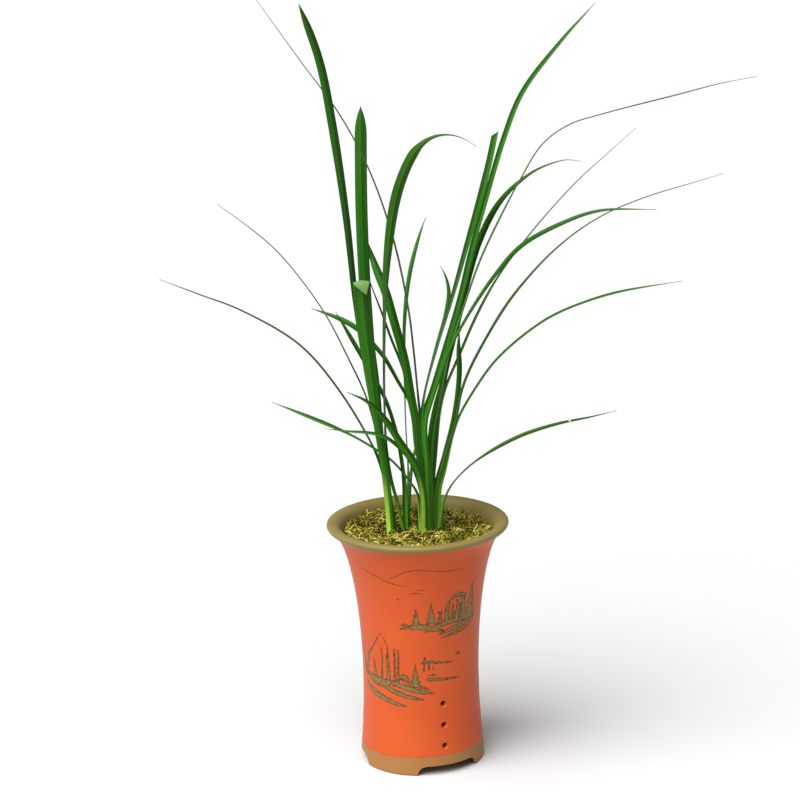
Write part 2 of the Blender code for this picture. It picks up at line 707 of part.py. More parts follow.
def shoot_openings(collection):
    """An upright oblong with rounded corners for each shoot, which passes through the moss."""
    made = []
    height = 0.5 * (MOSS_BOTTOM + MOSS_TOP)
    for name, middle, half, bearing, _ in shoot_places():
        outline = []
        for i in range(20):
            angle = math.tau * i / 20
            outline.append((
                (half + OPENING_MARGIN) * rounded(math.cos(angle)),
                OPENING_HALF_WIDTH * rounded(math.sin(angle)),
            ))
        turn = Matrix.Rotation(math.radians(VIEW_TURN) + bearing, 4, "Z")
        matrix = Matrix.Translation(room(*middle, height)) @ turn
        made.append(prism(f"opening_{name}", outline, 30.0, matrix, collection))
    return made


def main():
    clear_scene()
    plant = new_collection("potted_cymbidium")
    helpers = new_collection("cutters", hidden=True)

    clay = material("clay_pot", (0.80, 0.19, 0.06), 0.65)
    pot = lathe("pot", WALL_OUTSIDE + UNDERSIDE + WALL_INSIDE, plant, clay)
    for shape in foot_notches(helpers) + air_holes(helpers):
        boolean(pot, shape.name, cutter(shape), "DIFFERENCE")

    grit = material("drainage_grit", (0.30, 0.27, 0.22), 0.9)
    lathe("drainage_grit", filling_profile(20.0 + CLEARANCE, GRIT_TOP), plant, grit, closed=False)

    bark = material("potting_mix", (0.10, 0.06, 0.035), 0.95)
    mix = lathe("potting_mix", filling_profile(MIX_BOTTOM, MIX_TOP), plant, bark, closed=False)
    hollow = grow_rootstock("rootstock_hollow", helpers, helpers, grow=CLEARANCE + 0.1)
    boolean(mix, "Rootstock hollow", cutter(hollow), "DIFFERENCE")

    tan = material("rootstock", (0.35, 0.30, 0.13), 0.7)
    rootstock = grow_rootstock("rootstock", plant, helpers, colour=tan)

    moss = moss_layer(plant, material("moss", (0.24, 0.21, 0.05), 0.95))
    for shape in shoot_openings(helpers):
        boolean(moss, shape.name, cutter(shape), "DIFFERENCE")

    green = material("leaf", (0.05, 0.20, 0.02), 0.4)
    for (name, _, _, turn, leaves), (_, _, _, _, feet) in zip(SHOOTS, shoot_places()):
        slots = []
        for k, leaf in enumerate(leaves):
            rows = leaf_rows(feet[k], turn, leaf)
            blade(f"{name}_leaf_{k + 1}", [(rows, leaf[0])], plant, green)
            slots.append((slot_rows(rows), "slot"))
        thickness = BLADE_THICKNESS + 2.0 * SLOT_CLEARANCE
        shape = blade(f"slots_{name}", slots, helpers, thickness=thickness)
        boolean(rootstock, shape.name, cutter(shape), "DIFFERENCE")


main()
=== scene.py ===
# %% [markdown]
# # A potted cymbidium orchid
# Long strap leaves rise in five shoots from a bed of moss, in a flared clay pot that stands on three feet.
# The solids that this notebook dresses are loaded first. Each piece made here takes the place of one of
# them, so it is built in the same frame: metres, +Z up, the origin at ground level on the pot's axis.

# %% Load the solids
import math
import random
from functools import partial

import bmesh
import bpy
from mathutils import Matrix, Vector


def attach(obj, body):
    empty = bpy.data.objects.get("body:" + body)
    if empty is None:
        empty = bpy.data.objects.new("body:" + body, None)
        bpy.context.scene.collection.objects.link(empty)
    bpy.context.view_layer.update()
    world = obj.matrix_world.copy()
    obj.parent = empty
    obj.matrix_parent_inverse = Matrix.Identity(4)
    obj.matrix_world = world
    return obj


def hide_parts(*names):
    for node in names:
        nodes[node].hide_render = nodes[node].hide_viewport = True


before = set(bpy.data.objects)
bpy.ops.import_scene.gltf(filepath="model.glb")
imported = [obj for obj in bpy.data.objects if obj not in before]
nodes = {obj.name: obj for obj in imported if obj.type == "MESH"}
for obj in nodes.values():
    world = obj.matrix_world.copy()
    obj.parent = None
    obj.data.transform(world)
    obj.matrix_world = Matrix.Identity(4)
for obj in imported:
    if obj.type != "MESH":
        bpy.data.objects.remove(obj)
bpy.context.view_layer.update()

# %% [markdown]
# ## Small helpers
# Colours are easiest to pick as the hex values of a picture, but shaders work with linear light, so one
# function converts them. Another adds a node, gives its settings, and fills or links its inputs. Some
# nodes have several sockets of one name, of which only one is in use, so it looks for the enabled one.

# %% Colour and node helpers
MM = 0.001


def linear(hex_value):
    """An sRGB hex colour as linear red, green, blue and alpha."""
    channels = [int(hex_value[i : i + 2], 16) / 255 for i in (0, 2, 4)]
    return (*(c / 12.92 if c < 0.04045 else ((c + 0.055) / 1.055) ** 2.4 for c in channels), 1.0)


def add_node(tree, kind, *values, output=None, **named):
    """Adds a node and returns one of its outputs.

    The kind may be followed by the node's operation. Plain values go to its inputs in order. A name with
    a capital is an input too, with _ for each space, and any other name is a setting. A value that is a
    socket gets linked.
    """
    kind, *operation = kind.split()
    node = tree.nodes.new(kind)
    if operation:
        node.operation = operation[0]
    inputs = dict(enumerate(values))
    for name, value in named.items():
        if name[0].isupper():
            inputs[name.replace("_", " ")] = value
        else:
            setattr(node, name, value)
    for name, value in inputs.items():
        if isinstance(name, int):
            socket = node.inputs[name]
        else:
            socket = next(s for s in node.inputs if s.enabled and s.name == name)
        if isinstance(value, bpy.types.NodeSocket):
            tree.links.new(value, socket)
        else:
            socket.default_value = value
    found = [s for s in node.outputs if s.enabled and output in (None, s.name)]
    return found[0] if found else None


print("mid grey is", [round(c, 3) for c in linear("808080")])

# %% [markdown]
# A new material has a Principled BSDF and an output. The helper empties it and links a fresh shader, whose
# constant values are set on its own sockets. Further down, `add` is the helper that adds a node, bound to
# the tree in work.

# %% Start a material
def new_material(name, **values):
    """A material with its tree, its shader, and the object coordinates that its patterns read."""
    made = bpy.data.materials.new(name)
    made.use_nodes = True
    tree = made.node_tree
    tree.nodes.clear()
    surface = add_node(tree, "ShaderNodeBsdfPrincipled", **values)
    add_node(tree, "ShaderNodeOutputMaterial", Surface=surface)
    return made, tree, surface.node, add_node(tree, "ShaderNodeTexCoord", output="Object")


print("materials so far:", len(bpy.data.materials))

# %% [markdown]
# A piece is built with live modifiers, and the result is then kept as a plain mesh. Each finished piece
# is attached to the root body, and the solid that it stands for is hidden.

# %% Keep and attach a piece
def place_object(name, data):
    """A new object of the scene."""
    made = bpy.data.objects.new(name, data)
    bpy.context.scene.collection.objects.link(made)
    return made


def plain_mesh(obj, name):
    """A new object that holds what an object's modifiers make, which it replaces."""
    graph = bpy.context.evaluated_depsgraph_get()
    mesh = bpy.data.meshes.new_from_object(obj.evaluated_get(graph))
    bpy.data.objects.remove(obj)
    mesh.name = name
    return place_object(name, mesh)


def finish_piece(obj, node):
    """Attaches a piece to the root body and hides the solid that it stands for."""
    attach(obj, "root")
    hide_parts(node)
    return obj


print("solids to replace or to dress:", len(nodes))

# %% [markdown]
# ## Where things are
# The plant was laid out as it looks from its front, in three directions of the viewer: right, away and up.
# The front faces halfway between +X and -Y. A point of the front view and its distance away from the
# pot's axis give one point of the room, through the eye's own place.

# %% The viewer's directions
VIEW_TURN = 45.0
EYE_DISTANCE = 3000.0
EYE_SLOPE = 15.2
VIEW_ROLL = 1.4
MOUTH_IN_VIEW = (17.5, -119.5)
MOUTH_HEIGHT = 250.0


def room(right, away, up):
    """A point in the viewer's directions and millimetres, in the frame of the solids and metres."""
    turn = math.radians(VIEW_TURN)
    x = right * math.cos(turn) - away * math.sin(turn)
    y = right * math.sin(turn) + away * math.cos(turn)
    return Vector((x, y, up)) * MM


def view_direction(across, up):
    """The direction that leads this far to the right and up in the leaning view."""
    roll = math.radians(VIEW_ROLL)
    slope = math.radians(EYE_SLOPE)
    x = across * math.cos(roll) + up * math.sin(roll)
    y = up * math.cos(roll) - across * math.sin(roll)
    return Vector((x, 0.0, 0.0)) + Vector((0.0, math.sin(slope), math.cos(slope))) * y


def sight_line(across, up):
    """The direction in which the eye sees this point of the view, measured from the view's middle."""
    slope = math.radians(EYE_SLOPE)
    ahead = Vector((0.0, math.cos(slope), -math.sin(slope)))
    return view_direction(across, up) + ahead * EYE_DISTANCE


eye = Vector((0.0, 0.0, MOUTH_HEIGHT)) - sight_line(*MOUTH_IN_VIEW)


def seen(across, up, away):
    """The point that shows at (across, up) from the pot's mouth in the front view."""
    line = sight_line(MOUTH_IN_VIEW[0] + across, MOUTH_IN_VIEW[1] + up)
    return eye + line * ((away - eye.y) / line.y)


print("eye at", [round(c) for c in eye], "mm")

# %% [markdown]
# ## Studio
# A plain pale floor fills the picture, because the camera looks down on it. A sun lamp lights a floor
# evenly however far it reaches, and a wide angle makes it as soft as a large softbox. It stands in front,
# a little to the left, and the world adds the weak light of a white room. The light is strong and the
# paper only pale, so the floor still comes out white but throws less light back onto the shaded sides.
# The standard view transform keeps white white.

# %% Floor and light
FLOOR_HALF_SIZE = 60.0
KEY_BEARING = -38.0  # degrees round from the front, to the viewer's right
KEY_HEIGHT = 56.0
KEY_ANGLE = 58.0
KEY_STRENGTH = 5.5
ROOM_LIGHT = 0.24

scene = bpy.context.scene
scene.view_settings.view_transform = "Standard"
world = bpy.data.worlds.new("white_room")
world.use_nodes = True
background = world.node_tree.nodes["Background"]
background.inputs["Color"].default_value = linear("ffffff")
background.inputs["Strength"].default_value = ROOM_LIGHT
scene.world = world

floor_mesh = bpy.data.meshes.new("floor")
work = bmesh.new()
bmesh.ops.create_grid(work, x_segments=1, y_segments=1, size=FLOOR_HALF_SIZE)
work.to_mesh(floor_mesh)
work.free()
floor = place_object("floor", floor_mesh)
paper = new_material("pale_backdrop_paper", Base_Color=linear("cccccc"), Roughness=0.9)[0]
floor_mesh.materials.append(paper)

key = bpy.data.lights.new("key_light", "SUN")
key.angle = math.radians(KEY_ANGLE)
key.energy = KEY_STRENGTH
lamp = place_object("key_light", key)
bearing, rise = math.radians(KEY_BEARING), math.radians(KEY_HEIGHT)
towards_lamp = room(math.sin(bearing) * math.cos(rise), -math.cos(bearing) * math.cos(rise), math.sin(rise))
lamp.rotation_euler = (-towards_lamp).to_track_quat("-Z", "Y").to_euler()
print("the key light is", KEY_HEIGHT, "degrees high")

# %% [markdown]
# The camera stands at the eye, and one millimetre at the pot's mouth covers one pixel of an 800 pixel
# picture. That gives its lens, and the lean of the view gives its roll.

# %% Camera
PICTURE_WIDTH = 800.0  # pixels
camera_right = room(*view_direction(1.0, 0.0)) / MM
camera_up = room(*view_direction(0.0, 1.0)) / MM
camera_back = camera_right.cross(camera_up)
lens = bpy.data.cameras.new("camera")
lens.sensor_width = 36.0
lens.lens = EYE_DISTANCE * lens.sensor_width / PICTURE_WIDTH
lens.clip_start = 0.05
camera = place_object("camera", lens)
turned = Matrix((camera_right, camera_up, camera_back)).transposed().to_4x4()
camera.matrix_world = Matrix.Translation(room(*eye)) @ turned
scene.camera = camera
print("lens", lens.lens, "mm, camera at", [round(c, 3) for c in camera.matrix_world.translation])

# %% [markdown]
# ## The pot's shape
# The pot is thrown on a wheel, so its wall is one profile turned about the axis: the flared lip, the waist,
# the foot ring, and the inside. The profile's few points are the ones that the solid has, and a spline
# through them gives the smooth wall.

# %% Pot measurements
# (radius, height) in mm, down the outside, across the underside and up the inside
WALL_OUTSIDE = (
    (83.0, 249.6), (87.0, 250.0), (90.4, 249.2), (91.5, 247.0), (90.6, 244.6), (85.5, 241.0), (80.6, 236.0),
    (76.6, 228.5), (72.0, 215.0), (67.3, 195.0), (63.2, 169.0), (60.2, 138.0), (58.5, 100.0), (58.8, 62.0),
    (60.4, 34.0), (62.2, 10.0), (62.2, 1.4), (60.8, 0.0),
)
UNDERSIDE = ((52.0, 0.0), (50.4, 1.4), (50.0, 12.0), (9.5, 12.0), (9.5, 20.0))
WALL_INSIDE = (
    (49.5, 20.0), (53.4, 24.0), (52.6, 62.0), (52.2, 100.0), (53.9, 138.0), (57.0, 169.0), (61.2, 195.0),
    (66.2, 215.0), (71.0, 227.0), (74.3, 238.0), (76.4, 244.2), (79.2, 248.0),
)
SMOOTH_POINTS = 14  # of the outside, before its straight foot
LIP_EDGE = 3  # the outside's widest point
print("lip", 2 * WALL_OUTSIDE[LIP_EDGE][0], "mm across, foot", 2 * WALL_OUTSIDE[-1][0], "mm")

# %% [markdown]
# The spline passes through its points and is sampled evenly. A few passes of averaging ease out kinks, but
# not in the first samples, where a leaf stands straight in its slot.

# %% A smooth curve through points
STRAIGHT_SAMPLES = 5


def ease(t):
    """A smooth step from 0 to 1."""
    t = min(1.0, max(0.0, t))
    return t * t * (3.0 - 2.0 * t)


def spline(points, step=2.0, passes=9):
    """A smooth curve through points, sampled about every `step` mm, with small kinks eased out."""
    knots = [points[0] * 2 - points[1], *points, points[-1] * 2 - points[-2]]
    fine = []
    for p0, p1, p2, p3 in zip(knots, knots[1:], knots[2:], knots[3:]):
        t1 = (p1 - p0).length ** 0.5
        t2 = t1 + (p2 - p1).length ** 0.5
        t3 = t2 + (p3 - p2).length ** 0.5
        pieces = max(2, math.ceil((p2 - p1).length / step))
        for i in range(pieces):
            t = t1 + (t2 - t1) * i / pieces
            a1 = p0.lerp(p1, t / t1)
            a2 = p1.lerp(p2, (t - t1) / (t2 - t1))
            a3 = p2.lerp(p3, (t - t2) / (t3 - t2))
            b1 = a1.lerp(a2, t / t2)
            b2 = a2.lerp(a3, (t - t1) / (t3 - t1))
            fine.append(b1.lerp(b2, (t - t1) / (t2 - t1)))
    fine.append(points[-1])
    for _ in range(passes):
        eased = list(fine)
        for i in range(STRAIGHT_SAMPLES + 1, len(fine) - 1):
            eased[i] = (fine[i - 1] + fine[i] * 2 + fine[i + 1]) / 4
        fine = eased
    return fine


line = [Vector((0.0, 0.0, 50.0 * i)) for i in range(3)]
print("a 100 mm line has", len(spline(line)), "samples")

# %% [markdown]
# A Screw modifier turns the profile about the axis, as the wheel does. The same helper serves the moss.

# %% Turn the pot
POT_STEPS = 180
SAME_POINT = 0.00001


def turn_profile(name, profile, closed, steps):
    """An object that turns (radius, height) points in mm about the Z axis."""
    count = len(profile)
    edges = [(i, (i + 1) % count) for i in range(count if closed else count - 1)]
    mesh = bpy.data.meshes.new(name)
    mesh.from_pydata([(r * MM, 0.0, z * MM) for r, z in profile], edges, [])
    made = place_object(name, mesh)
    screw = made.modifiers.new("Turn", "SCREW")
    screw.steps = screw.render_steps = steps
    screw.use_merge_vertices = True
    screw.merge_threshold = SAME_POINT
    return made


wall = [Vector((r, 0.0, z)) for r, z in WALL_INSIDE + WALL_OUTSIDE[:SMOOTH_POINTS]]
wall = [(p.x, p.z) for p in spline(wall, step=2.5, passes=3)]
profile = wall + list(WALL_OUTSIDE[SMOOTH_POINTS:] + UNDERSIDE)
pot = turn_profile("pot_turned", profile, True, POT_STEPS)
print("pot profile:", len(pot.data.vertices), "points")

# %% [markdown]
# Three arches are cut through the foot ring and leave three feet, and a column of three air holes stands
# over each arch. All the cutters lie in one mesh, so a single Boolean makes every cut. Each hole's cutter
# widens at the wall's outside, where the potter has wiped the edge of the hole.

# %% Cutters for the feet and the air holes
NOTCH_MIDDLES = (26.0, 146.0, 266.0)
NOTCH_ARCH = ((-34.5, -4.0), (-33.0, 0.0), (-31.0, 5.5), (-28.5, 8.8), (-24.0, 10.0))
NOTCH_DEPTHS = (30.0, 85.0)
AIR_HOLE_OFFSET = -4.5
AIR_HOLE_HEIGHTS = (30.0, 51.5, 74.0)
AIR_HOLE_RINGS = ((7.7, 4.0), (2.85, -0.85), (2.5, -1.8), (2.5, -12.0))  # radius and depth
AIR_HOLE_SIDES = 24


def wall_radius(points, height):
    """The radius of a profile at a height."""
    ordered = sorted(points, key=lambda p: p[1])
    for (r1, z1), (r2, z2) in zip(ordered, ordered[1:]):
        if z1 <= height <= z2 and z2 > z1:
            return r1 + (r2 - r1) * (height - z1) / (z2 - z1)
    return ordered[-1][0] if height > ordered[-1][1] else ordered[0][0]


def round_from_front(degrees, out, up):
    """Where -Y becomes this bearing of the pot (0 front, 90 the viewer's right), `out` mm from the axis."""
    turn = Matrix.Rotation(math.radians(VIEW_TURN + degrees), 4, "Z")
    lie_down = Matrix.Rotation(math.radians(90.0), 4, "X")
    return turn @ Matrix.Translation(Vector((0.0, -out, up)) * MM) @ lie_down


def add_plug(work, place, rings):
    """A closed solid through rings of points in mm, put in its place."""
    made = [[work.verts.new(place @ (Vector(p) * MM)) for p in ring] for ring in rings]
    for a, b in zip(made, made[1:]):
        for i in range(len(a)):
            j = (i + 1) % len(a)
            work.faces.new((a[i], a[j], b[j], b[i]))
    work.faces.new(made[0])
    work.faces.new(made[-1])


cutter_mesh = bpy.data.meshes.new("pot_cuts")
work = bmesh.new()
arch = NOTCH_ARCH + tuple((-x, z) for x, z in reversed(NOTCH_ARCH))
turns = [math.tau * i / AIR_HOLE_SIDES for i in range(AIR_HOLE_SIDES)]
for middle in NOTCH_MIDDLES:
    place = round_from_front(middle, 0.0, 0.0)
    add_plug(work, place, [[(x, z, depth) for x, z in arch] for depth in NOTCH_DEPTHS])
    for height in AIR_HOLE_HEIGHTS:
        place = round_from_front(middle + AIR_HOLE_OFFSET, wall_radius(WALL_OUTSIDE, height), height)
        rings = [[(r * math.cos(a), r * math.sin(a), d) for a in turns] for r, d in AIR_HOLE_RINGS]
        add_plug(work, place, rings)
bmesh.ops.recalc_face_normals(work, faces=work.faces)
work.to_mesh(cutter_mesh)
work.free()
print("cutters:", len(cutter_mesh.polygons), "faces")

# %% Cut the pot
SHARP_ANGLE = 35.0
cuts = place_object("pot_cuts", cutter_mesh)
cut = pot.modifiers.new("Feet and holes", "BOOLEAN")
cut.operation = "DIFFERENCE"
cut.object = cuts
pot = plain_mesh(pot, "clay_pot")
bpy.data.objects.remove(cuts)
pot.data.shade_smooth()
pot.data.set_sharp_from_angle(angle=math.radians(SHARP_ANGLE))
print("pot:", len(pot.data.polygons), "faces")

# %% [markdown]
# The orange slip covers only the outside of the wall. An attribute marks it: 1 on the outside, 0 on the
# inside. Heights are left to the material, where the slip's edge can wander as a brushed edge does.

# %% Mark the pot's outside
WALL_SKIN = 3.0
outside = pot.data.attributes.new("outside", "FLOAT", "POINT")
for vertex, value in zip(pot.data.vertices, outside.data):
    distance = math.hypot(vertex.co.x, vertex.co.y) / MM
    skin = wall_radius(WALL_OUTSIDE[LIP_EDGE:], vertex.co.z / MM) - WALL_SKIN
    value.value = 1.0 if distance > skin else 0.0
print("outside points:", sum(v.value > 0.5 for v in outside.data), "of", len(outside.data))

# %% [markdown]
# ## The incised landscape
# The picture is cut through the slip into the clay, in the manner of traditional landscapes: far hills,
# a wooded bank, a crag, water and a pavilion. A knife's stroke has a centre line and a width that both
# change along its length. A Float Curve node holds each of the two, so a stroke needs no picture.

# %% Strokes of the landscape
# Each stroke: the way it runs, its start and end, its centre at even steps, and its half widths, in mm.
# `along` runs round the pot from left to right and `up` runs up the wall. Zero is the front.
HILLS = (
    ("along", -57, -10, (217, 213.5, 210, 206, 203.5, 202.5), (0.2, 0.8, 0.7, 0.8, 0.6, 0.2)),
    ("along", -27, 40, (209, 214.5, 220, 221, 219, 217.5, 217, 216.5),
     (0.2, 0.6, 0.6, 0.7, 0.5, 0.6, 0.6, 0.2)),
    ("along", -9, 3, (193, 195, 193.5), (0.2, 0.8, 0.2)),
    ("along", -3, 5, (197, 198.5, 197), (0.2, 0.7, 0.2)),
)
STROKES = (
    # a bird, and a resting place for it
    ("along", -21.5, -18.5, (187, 187.5, 187), (0.5, 1.1, 0.4)),
    ("along", 38, 43, (124, 125, 123.5), (0.3, 1.6, 0.4)),
    # wooded bank on the right
    ("along", -20, 26, (155, 157.5, 157.5, 154, 151.5), (0.8, 2.4, 3.4, 2.2, 0.3)),
    ("along", -19, -11, (158.5, 160, 158), (0.4, 1.5, 0.3)),
    ("along", 4, 62, (152, 157, 160.5, 160.5, 163, 169), (0.3, 2.6, 2.9, 2.6, 2.6, 1.0)),
    ("along", 16, 63, (147.5, 151.5, 154, 157, 165), (0.3, 2.1, 2.6, 2.3, 0.6)),
    ("along", 20, 63, (144.5, 146.5, 148.8, 152, 161), (0.3, 1.4, 2.0, 1.7, 0.4)),
    ("up", 160, 174, (16.5, 18.5, 17), (1.2, 1.0, 0.4)),
    ("up", 161, 176, (21.5, 20, 21), (1.0, 1.1, 0.4)),
    # the crag beside it
    ("up", 159, 186, (27.5, 26, 26.5, 30), (3.0, 2.6, 2.2, 1.2)),
    ("along", 28, 47, (183, 187.5, 188, 184), (1.6, 2.4, 2.4, 2.0)),
    ("up", 158, 187, (47.5, 45.5, 44, 43), (3.4, 3.0, 2.8, 1.8)),
    ("up", 160, 184, (38, 36.5, 38, 35.5), (3.2, 2.6, 2.0, 1.2)),
    ("up", 160, 180, (32.5, 32, 32.5), (1.8, 1.5, 0.6)),
    ("up", 160, 178, (42.5, 41.5, 41), (1.8, 1.6, 0.7)),
    # tall rock on the left, with its inner creases
    ("up", 121, 147, (-63, -55.5, -49.5, -43), (1.5, 1.2, 0.8, 0.5)),
    ("up", 96, 125, (-68, -67.5, -65, -61.5), (2.6, 2.4, 1.9, 1.3)),
    ("up", 122, 147, (-35, -35, -37.5, -42), (0.8, 0.7, 0.6, 0.5)),
    ("up", 94, 127, (-37, -35.5, -35.5, -37), (3.0, 2.2, 1.9, 0.8)),
    ("up", 96, 136, (-45, -43.5, -42.5, -44), (2.4, 1.4, 1.1, 0.3)),
    ("up", 96, 119, (-53, -53.5, -56), (3.0, 1.8, 0.5)),
    ("up", 98, 131, (-71, -73, -75, -76), (1.2, 1.8, 1.6, 0.6)),
    ("along", -66, -33, (98, 95, 94, 95), (2.0, 4.6, 4.8, 2.4)),
    # two posts and low growth
    ("up", 92, 133, (-29, -28, -27.6, -27.4), (2.2, 1.3, 1.1, 1.3)),
    ("up", 92, 132, (-24, -24, -23.6, -23), (2.4, 1.4, 1.1, 0.9)),
    ("along", -24, -11, (101, 104, 100), (1.6, 2.4, 0.4)),
    # a pavilion at the water
    ("along", -1, 34, (118, 119.5, 118.5, 117.5, 117), (0.5, 1.7, 1.3, 1.0, 0.3)),
    ("up", 119, 126.5, (2.5, 4.5), (1.7, 0.3)),
    ("up", 110, 119, (3, 3.2), (0.9, 0.9)),
    ("up", 110.5, 119, (8, 8.2), (0.8, 0.8)),
    ("up", 111, 118, (12.6, 12.8), (0.7, 0.7)),
    # lines of the water
    ("along", 3, 42, (101.5, 100.8, 100.2, 99.4, 98.7), (0.6, 1.9, 1.5, 1.1, 0.3)),
    ("along", 7, 17, (105, 105.6, 104.5), (0.3, 1.2, 0.3)),
    # banks at the front left
    ("along", -36, 14, (97, 94.5, 91, 88, 86), (1.2, 3.2, 3.3, 2.2, 0.3)),
    ("along", -44, 3, (91.5, 88, 84.5, 81.8, 80), (1.2, 3.0, 2.9, 2.0, 0.3)),
    ("along", -70, -16, (88.5, 82, 78.3, 75, 72.5), (2.0, 3.4, 3.0, 2.4, 0.4)),
    ("along", -22, 10, (101, 97.5, 93.5, 90), (0.5, 1.8, 1.7, 0.4)),
)
# Each conifer: its place round the pot, the height of its foot, how tall it is and its half width.
CONIFERS = (
    (-4.0, 159.0, 19.0, 5.2), (10.5, 160.0, 24.5, 5.6), (54.0, 158.0, 43.0, 8.5), (-6.0, 93.0, 26.0, 6.4),
)
print(len(STROKES) + len(HILLS), "strokes and", len(CONIFERS), "conifers")

# %% [markdown]
# A cylinder is flattened by its angle round the axis, so the drawing has two coordinates in millimetres.
# A knife's edge wavers, so both are shifted by up to 0.4 mm of noise. All the noises of the pot are made
# first, in one loop.

# %% Pot material: where a point lies on the drawing
PICTURE_RADIUS = 60.0
WAVER = 0.8
# each noise: how many of its waves fit in a metre, and how many finer layers it has
NOISES = {
    "waver": (300.0, 2.0), "slip edge": (45.0, 3.0), "cloud": (22.0, 4.0), "grain": (900.0, 2.0),
    "mottle": (330.0, 3.0),
}
clay, tree, shader, coords = new_material(
    "stoneware_with_orange_slip", Roughness=0.45, IOR=1.45, Specular_IOR_Level=0.25
)
add = partial(add_node, tree)
noise = {}
for name, (scale, detail) in NOISES.items():
    noise[name] = add("ShaderNodeTexNoise", Vector=coords, Scale=scale, Detail=detail)
height = add("ShaderNodeSeparateXYZ", coords, output="Z")
to_front = math.radians(-VIEW_TURN)
turned = add("ShaderNodeVectorRotate", Vector=coords, Angle=to_front, rotation_type="Z_AXIS")
front = add("ShaderNodeSeparateXYZ", turned).node.outputs
minus_y = add("ShaderNodeMath MULTIPLY", front["Y"], -1.0)
angle = add("ShaderNodeMath ARCTAN2", front["X"], minus_y)
shift = add("ShaderNodeSeparateColor", noise["waver"].node.outputs["Color"]).node.outputs
round_mm = add("ShaderNodeMath MULTIPLY_ADD", angle, PICTURE_RADIUS, -0.5 * WAVER)
height_mm = add("ShaderNodeMath MULTIPLY", height, 1.0 / MM)
lowered = add("ShaderNodeMath SUBTRACT", height_mm, 0.5 * WAVER)
along = add("ShaderNodeMath MULTIPLY_ADD", shift[0], WAVER, round_mm)
up = add("ShaderNodeMath MULTIPLY_ADD", shift[1], WAVER, lowered)
print("drawing coordinates:", len(tree.nodes), "nodes")

# %% [markdown]
# The distance to the nearest stroke's edge is the least of the distances to all of them, and it is
# negative inside one. Across a stroke the distance is measured from its wavering centre line, and past its
# ends it is measured along its run.

# %% Pot material: distance to the strokes
AXES = {"along": (along, up), "up": (up, along)}
WIDEST_HALF = 6.0


def stroke_distance(strokes):
    """How far a point lies outside the nearest stroke, in mm."""
    nearest = None
    for way, start, end, centres, halves in strokes:
        run, side = AXES[way]
        share = add("ShaderNodeMapRange", Value=run, From_Min=start, From_Max=end)
        at_share = []
        for values, low, high in ((centres, min(centres) - 1, max(centres) + 1), (halves, 0, WIDEST_HALF)):
            curve = add("ShaderNodeFloatCurve", Value=share)
            mapping = curve.node.mapping
            points = mapping.curves[0].points
            places = [(i / (len(values) - 1), (v - low) / (high - low)) for i, v in enumerate(values)]
            points[0].location = places[0]
            points[1].location = places[-1]
            for place in places[1:-1]:
                points.new(*place)
            mapping.update()
            at_share.append(add("ShaderNodeMath MULTIPLY_ADD", curve, high - low, low))
        gaps = []
        for place, middle, half in ((side, *at_share), (run, 0.5 * (start + end), 0.5 * (end - start))):
            off = add("ShaderNodeMath SUBTRACT", place, middle)
            off = add("ShaderNodeMath ABSOLUTE", off)
            gaps.append(add("ShaderNodeMath SUBTRACT", off, half))
        gap = add("ShaderNodeMath MAXIMUM", *gaps)
        if nearest is not None:
            gap = add("ShaderNodeMath MINIMUM", nearest, gap)
        nearest = gap
    return nearest


hill_distance = stroke_distance(HILLS)
distance = stroke_distance(STROKES)
print("with the strokes:", len(tree.nodes), "nodes")

# %% [markdown]
# A conifer is a rule of its own: its outline narrows towards the top, and tiers of branches make that
# outline step in and out. A sawtooth of the height gives the tiers.

# %% Pot material: conifers
TIERS = 5.0
TIER_WIDEST = 1.1  # of the outline, at a tier's foot
TIER_TAPER = 0.55
for middle, foot, tall, wide in CONIFERS:
    share = add("ShaderNodeMapRange", Value=up, From_Min=foot, From_Max=foot + tall, clamp=False)
    tier = add("ShaderNodeMath MULTIPLY", share, TIERS)
    tier = add("ShaderNodeMath FRACT", tier)
    tier = add("ShaderNodeMath MULTIPLY_ADD", tier, -TIER_TAPER, TIER_WIDEST)
    left = add("ShaderNodeMath MULTIPLY_ADD", share, -wide, wide)
    half = add("ShaderNodeMath MULTIPLY", left, tier)
    off = add("ShaderNodeMath SUBTRACT", along, middle)
    off = add("ShaderNodeMath ABSOLUTE", off)
    gap = add("ShaderNodeMath SUBTRACT", off, half)
    below = add("ShaderNodeMath SUBTRACT", foot, up)
    gap = add("ShaderNodeMath MAXIMUM", gap, below)
    distance = add("ShaderNodeMath MINIMUM", distance, gap)
print("with the conifers:", len(tree.nodes), "nodes")

# %% [markdown]
# The knife leaves thin ridges of slip standing between its passes, so a wave texture takes a little away
# from each cut. Deep cuts reach the clay; the hills are only scratched into the slip.

# %% Pot material: what is cut and what is scratched
RIDGE_WAVE = {"Scale": 78.0, "Distortion": 7.0, "Detail": 3.0, "Detail_Scale": 2.0}
RIDGE = {"From_Min": 0.88, "From_Max": 0.97, "To_Max": 0.9}  # the crest of the wave, and mm left standing
CUT_EDGE = {"From_Min": 0.3, "From_Max": -0.3, "interpolation_type": "SMOOTHSTEP"}
ridges = add(
    "ShaderNodeTexWave", Vector=coords, **RIDGE_WAVE, output="Fac", wave_type="BANDS",
    bands_direction="DIAGONAL",
)
left_over = add("ShaderNodeMapRange", Value=ridges, **RIDGE)
distance = add("ShaderNodeMath ADD", distance, left_over)
carved = add("ShaderNodeMapRange", Value=distance, **CUT_EDGE)
scratched = add("ShaderNodeMapRange", Value=hill_distance, **CUT_EDGE)
print("cut depth ready")

# %% [markdown]
# The slip was poured over the wall and stops short of the foot in a slanting line, and it stops again
# under the lip. Noise lets both edges wander.

